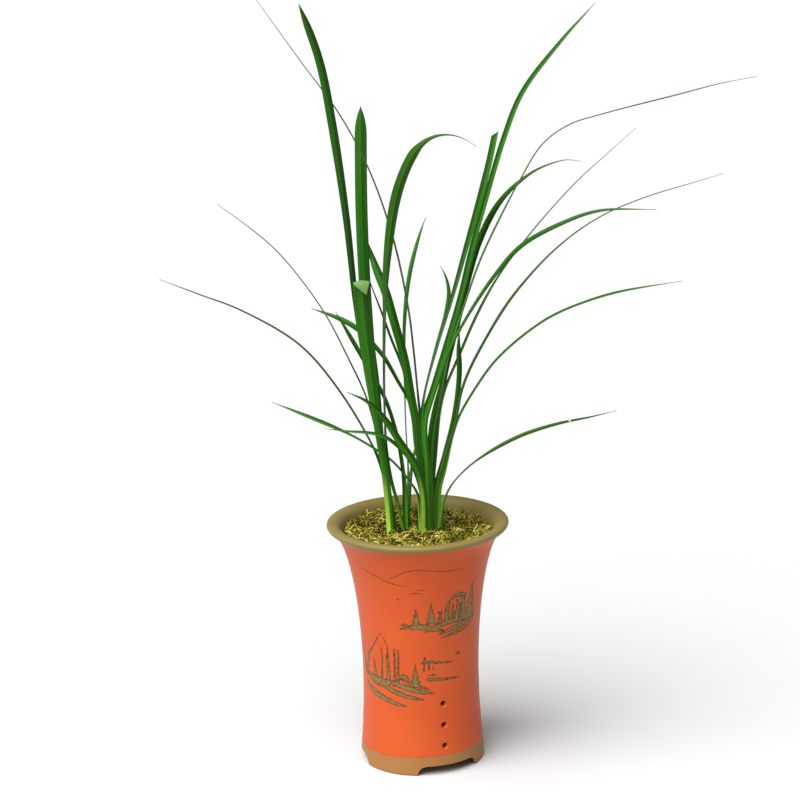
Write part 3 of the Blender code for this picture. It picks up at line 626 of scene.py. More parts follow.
# %% Pot material: where the slip lies
SLIP_BOTTOM = (19.9, 20.7)  # mm, from bare clay to full slip
SLIP_TOP = (243.3, 242.1)
SLIP_WANDER = 1.6  # mm
SLIP_SLANT = -18.0  # mm in a metre to the right
WARM_FOOT = (40.0, 20.0)  # mm, from no warmer clay to all of it
SKIN_EDGE = (0.35, 0.6)  # of the attribute
on_wall = add("ShaderNodeAttribute", output="Fac", attribute_name="outside")
edge = add("ShaderNodeMath MULTIPLY_ADD", noise["slip edge"], SLIP_WANDER, height_mm)
edge = add("ShaderNodeMath MULTIPLY_ADD", front["X"], SLIP_SLANT, edge)
masks = []
for value, (start, end) in (
    (edge, SLIP_BOTTOM), (edge, SLIP_TOP), (on_wall, SKIN_EDGE), (height_mm, WARM_FOOT),
):
    masks.append(add("ShaderNodeMapRange", Value=value, From_Min=start, From_Max=end))
slip = add("ShaderNodeMath MULTIPLY", masks[0], masks[1])
slip = add("ShaderNodeMath MULTIPLY", slip, masks[2])
foot = add("ShaderNodeMath MULTIPLY", masks[3], on_wall)
print("slip from", SLIP_BOTTOM[0], "to", SLIP_TOP[0], "mm")

# %% [markdown]
# Clay for such pots is a stoneware that fires to a warm grey-brown, bare on the lip, inside and on the
# feet. The slip fires to a smooth, slightly satin orange. Both have a fine grain, and clouds of a few
# centimetres where the kiln was hotter. The cut clay is rough, so its colour is mottled, and painted shade
# darkens it along the rims of each cut, so it is palest along the middle. A shade is a mix of two colours
# or of two earlier shades, and the last one is the pot.

# %% Pot material: colours
MOTTLE = {"From_Min": 0.35, "From_Max": 0.65}
MOTTLE_SHARE = 0.35  # of the cut's colour, the rest comes from the painted shade along its rims
# painted shade: a cut is darkest along its rims and palest along its middle
SHADED_RIM = {"From_Min": -0.2, "From_Max": -1.6, "To_Max": 0.6}  # mm inside a stroke
mottle = add("ShaderNodeMapRange", Value=noise["mottle"], **MOTTLE)
past_shaded_rim = add("ShaderNodeMapRange", Value=distance, **SHADED_RIM)
mottle_and_rim_shade = add("ShaderNodeMath MULTIPLY_ADD", mottle, MOTTLE_SHARE, past_shaded_rim)
shades = {}
# the cut's colour carries the painted shade along its rims
for name, factor, *mixed in (
    ("slip", noise["cloud"], "b84719", "c85625"), ("clay", noise["cloud"], "746537", "877842"),
    ("cut", mottle_and_rim_shade, "1c1805", "8b6e3d"), ("scratch", mottle, "7c3010", "9c4420"),
    ("with scratches", scratched, "slip", "scratch"), ("with cuts", carved, "with scratches", "cut"),
    ("bare", foot, "clay", "9a6b3b"), ("pot", slip, "bare", "with cuts"),
):
    under, over = (shades[m] if m in shades else linear(m) for m in mixed)
    shades[name] = add("ShaderNodeMix", Factor=factor, A=under, B=over, data_type="RGBA")
tree.links.new(shades["pot"], shader.inputs["Base Color"])
print("shades:", ", ".join(shades))

# %% [markdown]
# The relief is summed in millimetres: the cuts go down, the slip stands proud of the clay, the wheel has
# left shallow rings, and the grain roughens everything. One Bump node turns the sum into shading.

# %% Pot material: relief
SCRATCH_SHARE = 0.4  # of a cut's depth
CUT_DEPTH = 0.6
SLIP_THICKNESS = 0.25
RING_HEIGHT = 0.05
GRAIN_HEIGHT = 0.10
rings = add(
    "ShaderNodeTexWave", Vector=coords, Scale=48.0, Distortion=1.2, output="Fac", wave_type="BANDS",
    bands_direction="Z",
)
depth = add("ShaderNodeMath MULTIPLY_ADD", scratched, SCRATCH_SHARE, carved)
depth = add("ShaderNodeMath MULTIPLY", depth, slip)
relief = add("ShaderNodeMath MULTIPLY", depth, -CUT_DEPTH)
for layer, proud in ((slip, SLIP_THICKNESS), (rings, RING_HEIGHT), (noise["grain"], GRAIN_HEIGHT)):
    relief = add("ShaderNodeMath MULTIPLY_ADD", layer, proud, relief)
bump = add("ShaderNodeBump", Height=relief, Distance=MM, Strength=0.85)
tree.links.new(bump, shader.inputs["Normal"])
pot.data.materials.clear()
pot.data.materials.append(clay)
finish_piece(pot, "pot")
print("pot material:", len(tree.nodes), "nodes")

# %% [markdown]
# ## Leaves
# A cymbidium leaf is a strap with a keel: a V in section that opens as it rises. Each shoot holds a fan of
# them, one behind another. A leaf's path is given by points of the front view and their distance away,
# its width by its kind of tip, and its twist by angles. The solids were made from the same numbers.

# %% The shoots
FOOT_HEIGHT = 225.8
COLLAR_HEIGHT = 234.8
# For each kind of tip: the width at the foot, the stretch of the leaf over which the width changes to the
# full one, where it starts to narrow, and how suddenly it ends
OUTLINES = {
    "pointed": (5.6, 0.0, 0.5, 0.62, 1.6),
    "drawn out": (3.8, 0.0, 0.5, 0.86, 0.5),
    "short": (5.6, 0.0, 0.5, 0.84, 1.7),
    "blunt": (5.6, 0.0, 0.5, 0.93, 2.4),
    "cut": (5.6, 0.0, 0.5, 1.0, 1.0),
    "folded": (7.4, 0.35, 0.95, 1.0, 1.0),
}
# Each shoot: its name, the place (right, away) of its first leaf, the step to the next one, the turn of
# the leaves there, and the leaves from front to back. A turn of 0 shows the whole width from the front
# and 90 the edge. Each leaf: its kind of tip, its full width, its turns at the eighths of its length, and
# points of the front view that it passes, with how far away each is from the pot's axis.
SHOOTS = (
    ("left", (-27.3, -6.4), (1.16, 3.2), 20.0, (
        ("folded", 17.0, (15, 10, 5, 5, 5, 0, 0, 0), (
            (-31, 35, -10), (-37.5, 80, -15), (-46, 140, -20), (-53, 200, -27), (-56, 236, -33))),
        ("blunt", 9.3, (-15, -50, -50, -50, -40, -25, -30, -40), (
            (-32, 40, -6), (-39.5, 85, -10), (-47, 125, -12), (-62, 220, -18), (-71, 300, -28),
            (-84.5, 390, -40), (-98.5, 460, -52), (-119, 516, -62))),
        ("pointed", 5.5, (-30, -75, -75, -80, -85, -85, -85, -85), (
            (-33, 45, -2), (-39.5, 80, -4), (-51, 122, -5), (-68, 159, -13), (-95.5, 211, -43),
            (-138, 266, -90), (-168, 292, -122), (-200, 315, -158))),
        ("blunt", 12.2, (-15, -40, -25, -15, -15, -10, -10, -10), (
            (-31, 40, 8), (-36, 75, 14), (-42, 130, 23), (-49, 180, 34), (-53, 240, 43), (-56, 310, 53),
            (-57, 413, 68))),
        ("pointed", 5.5, (-25, -70, -70, -70, -70, -70, -65, -30), (
            (-29, 25, 10), (-36, 53, 18), (-46, 76, 24), (-78.5, 129.5, 38), (-118, 175, 54),
            (-178, 210, 68), (-218, 225, 75), (-258, 240, 82))),
    )),
    ("middle", (-13.6, -2.8), (1.0, 3.2), 20.0, (
        ("drawn out", 10.4, (45, 75, 75, 70, 40, 10, 25, 75), (
            (-21, 20, -5), (-26, 38, -6), (-31, 70, -8), (-33, 110, -9), (-33.5, 180, -17),
            (-30.5, 260, -32), (-19.5, 330, -42), (-1.5, 369.5, -50), (14, 382, -54), (29, 385, -57),
            (44, 382, -59), (59, 373, -60))),
        ("short", 6.0, (-15, -45, -50, -50, -50, -45, -40, -40), (
            (-13, 35, 5), (-16, 60, 8), (-20, 82, 10), (-32, 120, 12), (-54, 160, 13), (-67.5, 183.5, 13),
            (-82, 208, 14))),
        ("short", 5.5, (50, 85, 80, 70, 55, 40, 35, 25), (
            (-9, 35, 12), (-12, 95, 19), (-13, 145, 24), (-13, 200, 30), (-7.5, 248, 37), (4, 291, 42),
            (8.5, 302.5, 45))),
        ("short", 5.5, (40, 60, 70, 70, 65, 50, 30, 20), (
            (-8, 30, 18), (-5, 58, 28), (0, 80, 36), (6, 122, 42), (18, 170, 45), (29, 208, 46),
            (31.5, 227.5, 48), (28.5, 242.5, 50), (23, 253.5, 52))),
    )),
    ("front", (7.0, -14.0), (-1.6, 3.3), -20.0, (
        ("pointed", 8.0, (-20, -20, -25, -25, -25, -25, -25, -25), (
            (7, 20, -17), (4, 38, -19), (0, 51, -21), (-7, 63, -24), (-16, 75, -27), (-31, 98, -31),
            (-49.5, 117.5, -38), (-71, 127.5, -46))),
        ("pointed", 6.0, (-40, -50, -50, -50, -50, -50, -50, -50), (
            (4, 25, -12), (-1, 44, -13), (-8, 60, -16), (-18, 72, -19), (-33, 83, -24), (-50, 87, -29),
            (-68, 88, -34), (-93, 91, -42))),
        ("pointed", 6.5, (-45, -70, -70, -70, -70, -40, -20, -25), (
            (0, 26, -6), (-7, 37, -5), (-16, 49, -4), (-28, 61, 2), (-40, 69, 7), (-58, 80, 10),
            (-78, 90, 12), (-118, 106.5, 16), (-146, 117.5, 21))),
    )),
    ("centre", (12.5, -9.0), (-1.16, 3.2), -20.0, (
        ("pointed", 7.0, (15, 45, 60, 65, 55, 35, 20, 20), (
            (10, 50, -12), (8, 98, -16), (13, 116, -17), (23, 145, -19), (32, 170, -21), (53, 208.5, -25),
            (79, 246.5, -30), (104, 274, -35), (142.5, 295.5, -41), (182, 309, -46), (239, 310, -51))),
        ("cut", 8.5, (10, 55, 80, 75, 60, 50, 40, 45), (
            (8, 45, -6), (4, 85, -8), (6, 120, -7), (19, 170, 0), (34, 220, 7), (48, 270, 12),
            (62, 320, 17), (71, 355, 22), (77.5, 386, 27))),
        ("short", 9.5, (-20, -20, -25, -25, -25, -20, -20, -20), (
            (5, 45, -2), (0, 75, -2), (-2, 100, -1), (-6, 120, 1), (-13, 160, 7), (-24, 200, 16),
            (-32, 228, 28), (-41, 250, 43), (-52, 282, 64))),
        ("short", 6.0, (-40, -55, -60, -60, -50, -35, -20, -20), (
            (4, 45, 3), (0, 80, 4), (-4, 105, 5), (-10, 122, 6), (-18.5, 136.5, 8), (-33, 162, 9),
            (-44, 175, 12), (-59, 190, 17), (-78, 201, 24), (-106, 211, 34))),
        ("pointed", 5.5, (-45, -70, -70, -70, -75, -75, -85, -85), (
            (7, 40, 8), (5, 80, 13), (1, 120, 14), (-4.5, 175, 9), (-9, 210, 6), (-24, 280, 2),
            (-48, 349, 4), (-77.5, 404.5, 10), (-118, 460, 16), (-170, 532, 20))),
        ("short", 8.5, (15, 50, 50, 50, 50, 50, 55, 50), (
            (6, 45, 13), (4, 80, 19), (6, 105, 22), (13, 125, 23), (27, 170, 26), (42, 220, 31),
            (54, 270, 37), (68, 320, 45), (86, 380.5, 56), (104.5, 427, 65), (142.5, 477.5, 73),
            (177.5, 516.5, 80))),
        ("pointed", 4.5, (-30, -40, -50, -55, -55, -50, -50, -50), (
            (4, 45, 18), (0, 75, 26), (-5, 115, 32), (-10, 135, 34), (-17, 158, 36), (-26, 180, 39),
            (-35, 205, 45), (-47, 236, 55), (-54, 258, 63))),
    )),
    ("right", (21.5, -9.0), (-1.16, 3.2), -20.0, (
        ("pointed", 6.5, (60, 80, 75, 55, 55, 55, 55, 60), (
            (26, 17, -11), (34, 35, -14), (50.5, 52.5, -16), (70, 66.5, -19), (89.5, 77.5, -24),
            (109.5, 86.5, -28), (142.5, 96.5, -33), (172.5, 102.5, -37), (199, 109, -40))),
        ("pointed", 5.5, (25, 65, 65, 65, 65, 60, 35, 30), (
            (21.5, 30, -6), (26.5, 48, -7), (35.5, 85, -10), (42, 104, -13), (52, 122, -15),
            (77.5, 158.5, -19), (112, 189, -24), (140, 206.5, -28), (192, 225.5, -33), (242, 235, -38),
            (265, 238.5, -40))),
        ("pointed", 6.5, (20, 65, 65, 65, 75, 80, 85, 85), (
            (20.5, 30, -2), (32, 75, -1), (39, 102, -1), (43, 125, -1), (49, 143, 0), (60, 166, 2),
            (89, 215, 7), (112.5, 244.5, 9), (134.5, 267.5, 11), (162, 290, 13), (192, 308, 15),
            (232, 324, 17), (272, 336, 19), (306, 346, 20))),
        ("pointed", 5.5, (25, 70, 70, 70, 80, 80, 60, 40), (
            (15, 50, 2), (17, 85, 3), (23, 120, 3), (32, 168, 1), (46, 212, 0), (62, 258, 0), (82, 301, 0),
            (102, 339, 0), (125, 376, 0), (152, 395.5, 0), (182, 405, 0), (222, 415.5, 0), (262, 425.5, 0),
            (302, 436, 0), (339, 443, 0))),
        ("short", 5.5, (20, 60, 70, 60, 30, 20, 10, 10), (
            (17, 30, 5), (25, 62, 7), (30, 80, 8), (36, 102, 10), (40, 125, 13), (42, 150, 14),
            (41, 172, 15), (42, 190, 16))),
        ("pointed", 5.5, (20, 60, 60, 60, 75, 80, 85, 80), (
            (15, 40, 11), (17, 60, 13), (20, 90, 16), (23, 112, 18), (28, 132, 21), (42, 165, 25),
            (58.5, 203, 29), (78, 239, 33), (100, 270, 37), (132, 309, 43), (162, 341, 49), (192, 368, 55),
            (218.5, 391.5, 60))),
        ("pointed", 8.5, (10, 35, 35, 35, 35, 25, 45, 60), (
            (12, 45, 18), (14, 90, 25), (19, 115, 29), (25, 135, 32), (29, 155, 35), (39, 195, 39),
            (50, 240, 43), (63, 282, 47), (84, 320, 52), (112.5, 346, 58), (132, 355.5, 64), (150, 360, 68),
            (164, 358, 70))),
    )),
)
print(sum(len(leaves) for _, _, _, _, leaves in SHOOTS), "leaves in", len(SHOOTS), "shoots")

# %% [markdown]
# The rows of a leaf are cross-sections along its path: a middle, the directions of its width and of its
# face, half its width, and the depth of its keel. A row is placed where the leaf has bent or twisted
# enough since the last one, so straight stretches stay light.

# %% Rows of a leaf
ROW_SPACING = 4.5
ROW_BEND = 4.0
TWIST_SHARE = 0.35  # how much a degree of twist counts as bend
FACE_SLOPE = 17.5
KEEL_AT_FOOT = 0.42  # of the half width
KEEL_OPENING = 0.28
OPENED_AT = 0.4  # of the length


def turned_across(along, turn):
    """The blade's direction of width where it heads `along`, turned from the viewer by `turn` degrees."""
    slope = math.radians(FACE_SLOPE)
    to_viewer = Vector((0.0, -math.cos(slope), math.sin(slope)))
    facing = along.cross(to_viewer).normalized()
    edge_on = facing.cross(along).normalized()
    angle = math.radians(turn)
    return facing * math.cos(angle) + edge_on * math.sin(angle)


def blade_width(share, tip, full_width):
    """The blade's width at this share of its length."""
    foot, first, full, start, power = OUTLINES[tip]
    width = foot + (full_width - foot) * ease((share - first) / (full - first))
    if share > start:
        width *= 1.0 - ((share - start) / (1.0 - start)) ** power
    return width


def turn_at(turns, share):
    """The turn at this share of the length, between the turns given at even steps."""
    place = share * (len(turns) - 1)
    step = min(int(place), len(turns) - 2)
    return turns[step] + (turns[step + 1] - turns[step]) * (place - step)


def reach_along(points):
    """How far along their line each of the points lies."""
    reach = [0.0]
    for a, b in zip(points, points[1:]):
        reach.append(reach[-1] + (b - a).length)
    return reach


def leaf_rows(foot, foot_turn, leaf):
    """The rows of a leaf from foot to tip, each (middle, across, normal, half width, keel), in mm."""
    tip, full_width, turns, waypoints = leaf
    points = [Vector((*foot, FOOT_HEIGHT)), Vector((*foot, COLLAR_HEIGHT))]
    path = spline(points + [seen(*p) for p in waypoints])
    reach = reach_along(path)
    collar = reach[STRAIGHT_SAMPLES]
    headings = [Vector((0.0, 0.0, 1.0))] * (STRAIGHT_SAMPLES + 1)
    for i in range(STRAIGHT_SAMPLES + 1, len(path)):
        headings.append((path[min(i + 1, len(path) - 1)] - path[i - 1]).normalized())
    rows = []
    last = last_turn = None
    for i, middle in enumerate(path):
        share = max(0.0, reach[i] - collar) / (reach[-1] - collar)
        turn = turn_at((foot_turn, *turns), share)
        if i not in (0, STRAIGHT_SAMPLES, len(path) - 1):
            if i < STRAIGHT_SAMPLES:
                continue
            bend = math.degrees(headings[i].angle(headings[last])) + TWIST_SHARE * abs(turn - last_turn)
            if reach[i] - reach[last] < ROW_SPACING and bend < ROW_BEND:
                continue
        across = turned_across(headings[i], turn)
        normal = across.cross(headings[i]).normalized()
        half = 0.5 * blade_width(share, tip, full_width)
        keel = half * (KEEL_AT_FOOT - KEEL_OPENING * ease(share / OPENED_AT))
        rows.append((middle, across, normal, half, keel))
        last, last_turn = i, turn
    if tip == "folded":
        rows += folded_end(rows[-1], headings[-1])
    return rows


# %% [markdown]
# One leaf has snapped, and its end hangs down over its own front. Its rows follow a small arc and then a
# short straight flap that narrows to a corner.

# %% A folded end
FOLD_RADIUS = 2.6
FOLD_LENGTH = 10.5
FOLD_TURNS = (40.0, 80.0, 120.0, 160.0)
FOLD_NARROWING = 0.03
FLAP_TURN = 250.0
FLAP_SHIFT = 4.0
FLAP_SHARES = (0.33, 0.66, 1.0)


def folded_end(row, heading):
    """The rows of a snapped tip that has folded over to the front and hangs down."""
    middle, across, normal, half, keel = row

    def turned_out(degrees):
        """The direction from the fold's axis after this much of the fold."""
        angle = math.radians(degrees)
        return heading * math.sin(angle) - normal * math.cos(angle)

    centre = middle + normal * FOLD_RADIUS
    rows = []
    for degrees in FOLD_TURNS:
        out = turned_out(degrees)
        wide = half * (1.0 - FOLD_NARROWING * degrees / FOLD_TURNS[0])
        rows.append((centre + out * FOLD_RADIUS, across, -out, wide, keel))
    start, _, inward, wide, _ = rows[-1]
    down = turned_out(FLAP_TURN)
    for share in FLAP_SHARES:
        at = start + down * (FOLD_LENGTH * share) + across * (FLAP_SHIFT * share)
        rows.append((at, across, inward, wide * (1.0 - share), keel * (1.0 - share)))
    return rows


print("rows of the snapped leaf:", len(leaf_rows((0.0, 0.0), 20.0, SHOOTS[0][4][0])))

# %% [markdown]
# A path mesh holds one point for each row, and the row's values as attributes of that point. Its first and
# last rows are doubled with no width and no thickness, so that the blade closes at both ends.

# %% From rows to a path with attributes
HALF_THICKNESS = 0.44
THIN_START, FULL_HALF = 0.4, 2.5  # a narrow blade is thinner: its least share, and mm for the rest
LEAST_HALF_WIDTH = 0.3
CUT_SLANT = 3.0


def path_mesh(name, rows, tip, of_leaf):
    """The middles of the rows as loose points, with what the loft needs to know at each."""
    reach = reach_along([row[0] for row in rows])
    end = len(rows) - 1
    points = []
    at_points = []
    for k, size in ((0, 0.0), *((k, 1.0) for k in range(len(rows))), (end, 0.0)):
        middle, across, facing, half, keel = rows[k]
        half = max(LEAST_HALF_WIDTH, half)
        slant = -CUT_SLANT * size if tip == "cut" and k == end else 0.0
        points.append(room(*middle))
        at_points.append({
            "across": room(*across) / MM,
            "facing": room(*facing) / MM,
            "slant": room(*(across.cross(facing).normalized() * slant)),
            "half": half * size * MM,
            "keel": keel * size * MM,
            "thick": HALF_THICKNESS * min(1.0, THIN_START + half / FULL_HALF) * size * MM,
            "share": reach[k] / reach[-1],
            "reach": reach[k] * MM,
            "flap": 1.0 if tip == "folded" and k > end - len(FOLD_TURNS + FLAP_SHARES) else 0.0,
            **of_leaf,
        })
    mesh = bpy.data.meshes.new(name)
    mesh.from_pydata(points, [], [])
    for key, value in at_points[0].items():
        if isinstance(value, Vector):
            data = mesh.attributes.new(key, "FLOAT_VECTOR", "POINT").data
            data.foreach_set("vector", [c for values in at_points for c in values[key]])
        else:
            data = mesh.attributes.new(key, "FLOAT", "POINT").data
            data.foreach_set("value", [values[key] for values in at_points])
    return mesh


# %% [markdown]
# The leaves and the moss strands are each made by a Geometry Nodes tree with named inputs. Three helpers
# serve both trees: one starts a tree, one ends it in plain faces with a material, and one runs it.

# %% Start, end and run a tree
def new_tree(name, inputs, output):
    """A Geometry Nodes tree with named inputs, and the sockets that give their values inside it."""
    tree = bpy.data.node_groups.new(name, "GeometryNodeTree")
    for title, kind in inputs.items():
        tree.interface.new_socket(title, in_out="INPUT", socket_type="NodeSocket" + kind)
    tree.interface.new_socket(output, in_out="OUTPUT", socket_type="NodeSocketGeometry")
    return tree, tree.nodes.new("NodeGroupInput").outputs


def end_tree(tree, made, surface):
    """Ends a tree with one smooth mesh that has a material."""
    made = add_node(tree, "GeometryNodeRealizeInstances", Geometry=made)
    made = add_node(tree, "GeometryNodeSetShadeSmooth", Geometry=made)
    made = add_node(tree, "GeometryNodeSetMaterial", Geometry=made, Material=surface)
    tree.links.new(made, tree.nodes.new("NodeGroupOutput").inputs[0])


def run_tree(name, data, tree, values, result):
    """The plain object that a tree makes from a mesh and values for its named inputs."""
    obj = place_object(name, data)
    modifier = obj.modifiers.new(tree.name, "NODES")
    modifier.node_group = tree
    for item in tree.interface.items_tree:
        if item.name in values:
            modifier[item.identifier] = values[item.name]
    return plain_mesh(obj, result)


print("trees so far:", len(bpy.data.node_groups))

# %% [markdown]
# The loft starts from a grid with one column of points for each row of the leaf, and each column is bent
# round the leaf's section: an oval as thick as the leaf, folded down its middle by the keel. The columns'
# last point meets the first, and merging closes the skin. One tree makes every leaf.

# %% The tree that lofts a leaf: reading the path
VECTORS = ("position", "across", "facing", "slant")
FOR_MATERIAL = ("reach", "flap", "tone", "young", "old", "dry", "swing")
inputs = {"Path": "Geometry", "Points Round": "Int", "Leaf Surface": "Material"}
loft, given = new_tree("loft_leaf", inputs, "Leaf")
add = partial(add_node, loft)
path, points_round = given["Path"], given["Points Round"]
row_count = add("GeometryNodeAttributeDomainSize", Geometry=path, component="MESH")
columns = add("ShaderNodeMath ADD", points_round, 1.0)
grid = add("GeometryNodeMeshGrid", Vertices_X=columns, Vertices_Y=row_count)
index = add("GeometryNodeInputIndex")
row = add("ShaderNodeMath MODULO", index, row_count)
at_row = {}
for name in (*VECTORS, "half", "keel", "thick", "share", *FOR_MATERIAL):
    kind = "FLOAT_VECTOR" if name in VECTORS else "FLOAT"
    value = add("GeometryNodeInputNamedAttribute", Name=name, data_type=kind)
    at_row[name] = add("GeometryNodeSampleIndex", Geometry=path, Value=value, Index=row, data_type=kind)
print("values read for each row:", len(at_row))

# %% The tree that lofts a leaf: bending the section
column = add("ShaderNodeMath DIVIDE", index, row_count)
column = add("ShaderNodeMath FLOOR", column)
angle = add("ShaderNodeMath DIVIDE", column, points_round)
angle = add("ShaderNodeMath MULTIPLY", angle, math.tau)
sideways = add("ShaderNodeMath COSINE", angle)
outwards = add("ShaderNodeMath SINE", angle)
fold = add("ShaderNodeMath ABSOLUTE", sideways)
fold = add("ShaderNodeMath SUBTRACT", fold, 1.0)
fold = add("ShaderNodeMath MULTIPLY", fold, at_row["keel"])
rise = add("ShaderNodeMath MULTIPLY_ADD", outwards, at_row["thick"], fold)
wide = add("ShaderNodeMath MULTIPLY", sideways, at_row["half"])
point = at_row["position"]
for direction, amount in (("across", wide), ("facing", rise), ("slant", sideways)):
    step = add("ShaderNodeVectorMath SCALE", at_row[direction], Scale=amount)
    point = add("ShaderNodeVectorMath ADD", point, step)
skin = add("GeometryNodeSetPosition", Geometry=grid, Position=point)
print("loft tree:", len(loft.nodes), "nodes so far")

# %% [markdown]
# The material needs to know where it is on the leaf, so the tree stores a UV map, across and along the
# blade, and carries the path's own values over to the skin.

# %% The tree that lofts a leaf: what the material reads
MERGE_DISTANCE = 0.000004
uv_x = add("ShaderNodeMath MULTIPLY_ADD", sideways, 0.5, 0.5)
uv = add("ShaderNodeCombineXYZ", uv_x, at_row["share"])
# a map belongs to face corners, but these values are those of points
uv = add("GeometryNodeFieldOnDomain", Value=uv, domain="POINT", data_type="FLOAT_VECTOR")
stored = {name: (at_row[name], "FLOAT", "POINT") for name in FOR_MATERIAL}
for name, (value, kind, domain) in {"UVMap": (uv, "FLOAT2", "CORNER"), **stored}.items():
    skin = add(
        "GeometryNodeStoreNamedAttribute", Geometry=skin, Name=name, Value=value, data_type=kind,
        domain=domain,
    )
skin = add("GeometryNodeMergeByDistance", Geometry=skin, Distance=MERGE_DISTANCE)
end_tree(loft, skin, given["Leaf Surface"])
print("loft tree:", len(loft.nodes), "nodes")

# %% [markdown]
# A living leaf is waxy: a satin surface over deep green, with fine parallel veining and a paler midrib. It
# is yellow-green in the heart of the shoot, where it has seen little light, and a young leaf's foot is pale
# on one side. Leaves turned edge-on to the viewer get a painted shade that dulls them, and dry tips are
# duller.

# %% Leaf material: colour along the leaf
GREENS = ((0.0, "5a8a1c"), (0.1, "3f7613"), (0.25, "2f650c"), (0.55, "285a09"), (1.0, "255308"))
GREEN_REACH = 0.30  # m from the foot to the last green
leaf_surface, tree, shader, coords = new_material(
    "waxy_orchid_leaf", Roughness=0.36, IOR=1.40, Specular_IOR_Level=0.1
)
add = partial(add_node, tree)


def fill_ramp(ramp, stops):
    """Gives a colour ramp its (position, hex colour) stops, the first at 0 and the last at 1."""
    elements = ramp.node.color_ramp.elements
    elements[0].color = linear(stops[0][1])
    elements[1].color = linear(stops[-1][1])
    for position, colour in stops[1:-1]:
        elements.new(position).color = linear(colour)


uv = add("ShaderNodeUVMap", uv_map="UVMap")
across, lengthwise, _ = add("ShaderNodeSeparateXYZ", uv).node.outputs
of_leaf = {}
for name in FOR_MATERIAL:
    of_leaf[name] = add("ShaderNodeAttribute", output="Fac", attribute_name=name)
along = add("ShaderNodeMapRange", Value=of_leaf["reach"], From_Max=GREEN_REACH)
green = add("ShaderNodeValToRGB", Fac=along)
fill_ramp(green, GREENS)
# what each range reads, where it starts from nothing, and where it is full
ranges = []
for value, start, end in ((along, 0.26, 0.04), (across, 0.72, 0.46), (lengthwise, 0.84, 1.0)):
    ranges.append(add("ShaderNodeMapRange", Value=value, From_Min=start, From_Max=end))
near_foot, one_side, near_tip = ranges
fresh = add("ShaderNodeMath MULTIPLY", near_foot, one_side)
fresh = add("ShaderNodeMath MULTIPLY", fresh, of_leaf["young"])
worn = add("ShaderNodeMath MULTIPLY", near_tip, of_leaf["dry"])
# one layer is painted shade, which dulls the leaves turned edge-on to the viewer
# each layer: where it lies, how much of it shows at most, and its colour
for factor, most, colour in (
    (fresh, 1.0, "bce65a"), (of_leaf["tone"], 0.35, "1f5f26"), (of_leaf["old"], 0.45, "434c2a"),
    (worn, 0.6, "566a3e"),
):
    factor = add("ShaderNodeMath MULTIPLY", factor, most)
    green = add("ShaderNodeMix", Factor=factor, A=green, B=linear(colour), data_type="RGBA")
print("leaf colour:", len(tree.nodes), "nodes")

# %% [markdown]
# Veins are noise that is drawn out along the leaf. They lighten and darken it in bands, as each leaf's own
# tone does, and they give the relief; their light bands are also painted streaks of sheen. Painted light
# and shade make one half of the V lighter and the other darker. The lowest leaf on the right has a small
# pale scar near its end.

# %% Leaf material: tone, veining with painted sheen, painted light on its halves, and midrib
VEIN_STRETCH = (14.0, 5.0, 40.0)
MIDRIB = {"From_Min": 0.06, "From_Max": 0.01, "To_Max": 0.15}  # from its edge to its middle
LIT_HALF_EDGE = {"From_Min": 0.46, "From_Max": 0.54, "To_Min": -1.0}
MIDRIB_GROOVE = -0.5
VEIN_DEPTH = 0.0003
SCAR_PLACE = (152.5, 98.0, -34.3)  # in the front view
SCAR_RADIUS = 1.9 * MM
stretch = add("ShaderNodeCombineXYZ", across, of_leaf["reach"], of_leaf["tone"])
stretch = add("ShaderNodeVectorMath MULTIPLY", stretch, VEIN_STRETCH)
# the vein bands also stand in for painted streaks of sheen
veins_and_sheen = add("ShaderNodeTexNoise", Vector=stretch, Scale=1.0, Detail=3.0)
# painted light and shade: one half of the leaf's V is made lighter and the other darker
half = add("ShaderNodeMapRange", Value=across, **LIT_HALF_EDGE)
half = add("ShaderNodeMath MULTIPLY", half, of_leaf["swing"])
# what changes the green, over which range, and how dark and how light it makes it
for value, low, high, darkest, lightest in (
    (of_leaf["tone"], 0.0, 1.0, 0.80, 1.25), (veins_and_sheen, 0.3, 0.7, 0.60, 1.4), (half, -1.0, 1.0, 0.0, 2.0),
):
    inputs = {"From_Min": low, "From_Max": high, "To_Min": darkest, "To_Max": lightest}
    light = add("ShaderNodeMapRange", Value=value, **inputs)
    inputs = {"Factor": 1.0, "A": green, "B": light}
    green = add("ShaderNodeMix", **inputs, data_type="RGBA", blend_type="MULTIPLY")
centre = add("ShaderNodeMath SUBTRACT", across, 0.5)
centre = add("ShaderNodeMath ABSOLUTE", centre)
midrib = add("ShaderNodeMapRange", Value=centre, **MIDRIB)
scar_middle = room(*seen(*SCAR_PLACE))
off = add("ShaderNodeVectorMath DISTANCE", coords, scar_middle, output="Value")
scar = add("ShaderNodeMapRange", Value=off, From_Min=SCAR_RADIUS, From_Max=0.5 * SCAR_RADIUS)
for factor, colour in ((midrib, "5c9440"), (of_leaf["flap"], "688c4e"), (scar, "c8dcb4")):
    green = add("ShaderNodeMix", Factor=factor, A=green, B=linear(colour), data_type="RGBA")
tree.links.new(green, shader.inputs["Base Color"])
ribs = add("ShaderNodeMath MULTIPLY_ADD", midrib, MIDRIB_GROOVE, veins_and_sheen)
bump = add("ShaderNodeBump", Height=ribs, Distance=VEIN_DEPTH, Strength=0.6)
tree.links.new(bump, shader.inputs["Normal"])
print("leaf material:", len(tree.nodes), "nodes")

# %% [markdown]
# Each leaf gets its own tone, and painted light on one of its halves and painted shade on the other. The
# outer leaves of two shoots are young at the foot, and the leaves that have twisted edge-on get a painted
# shade that dulls them. Pointed tips dry out.

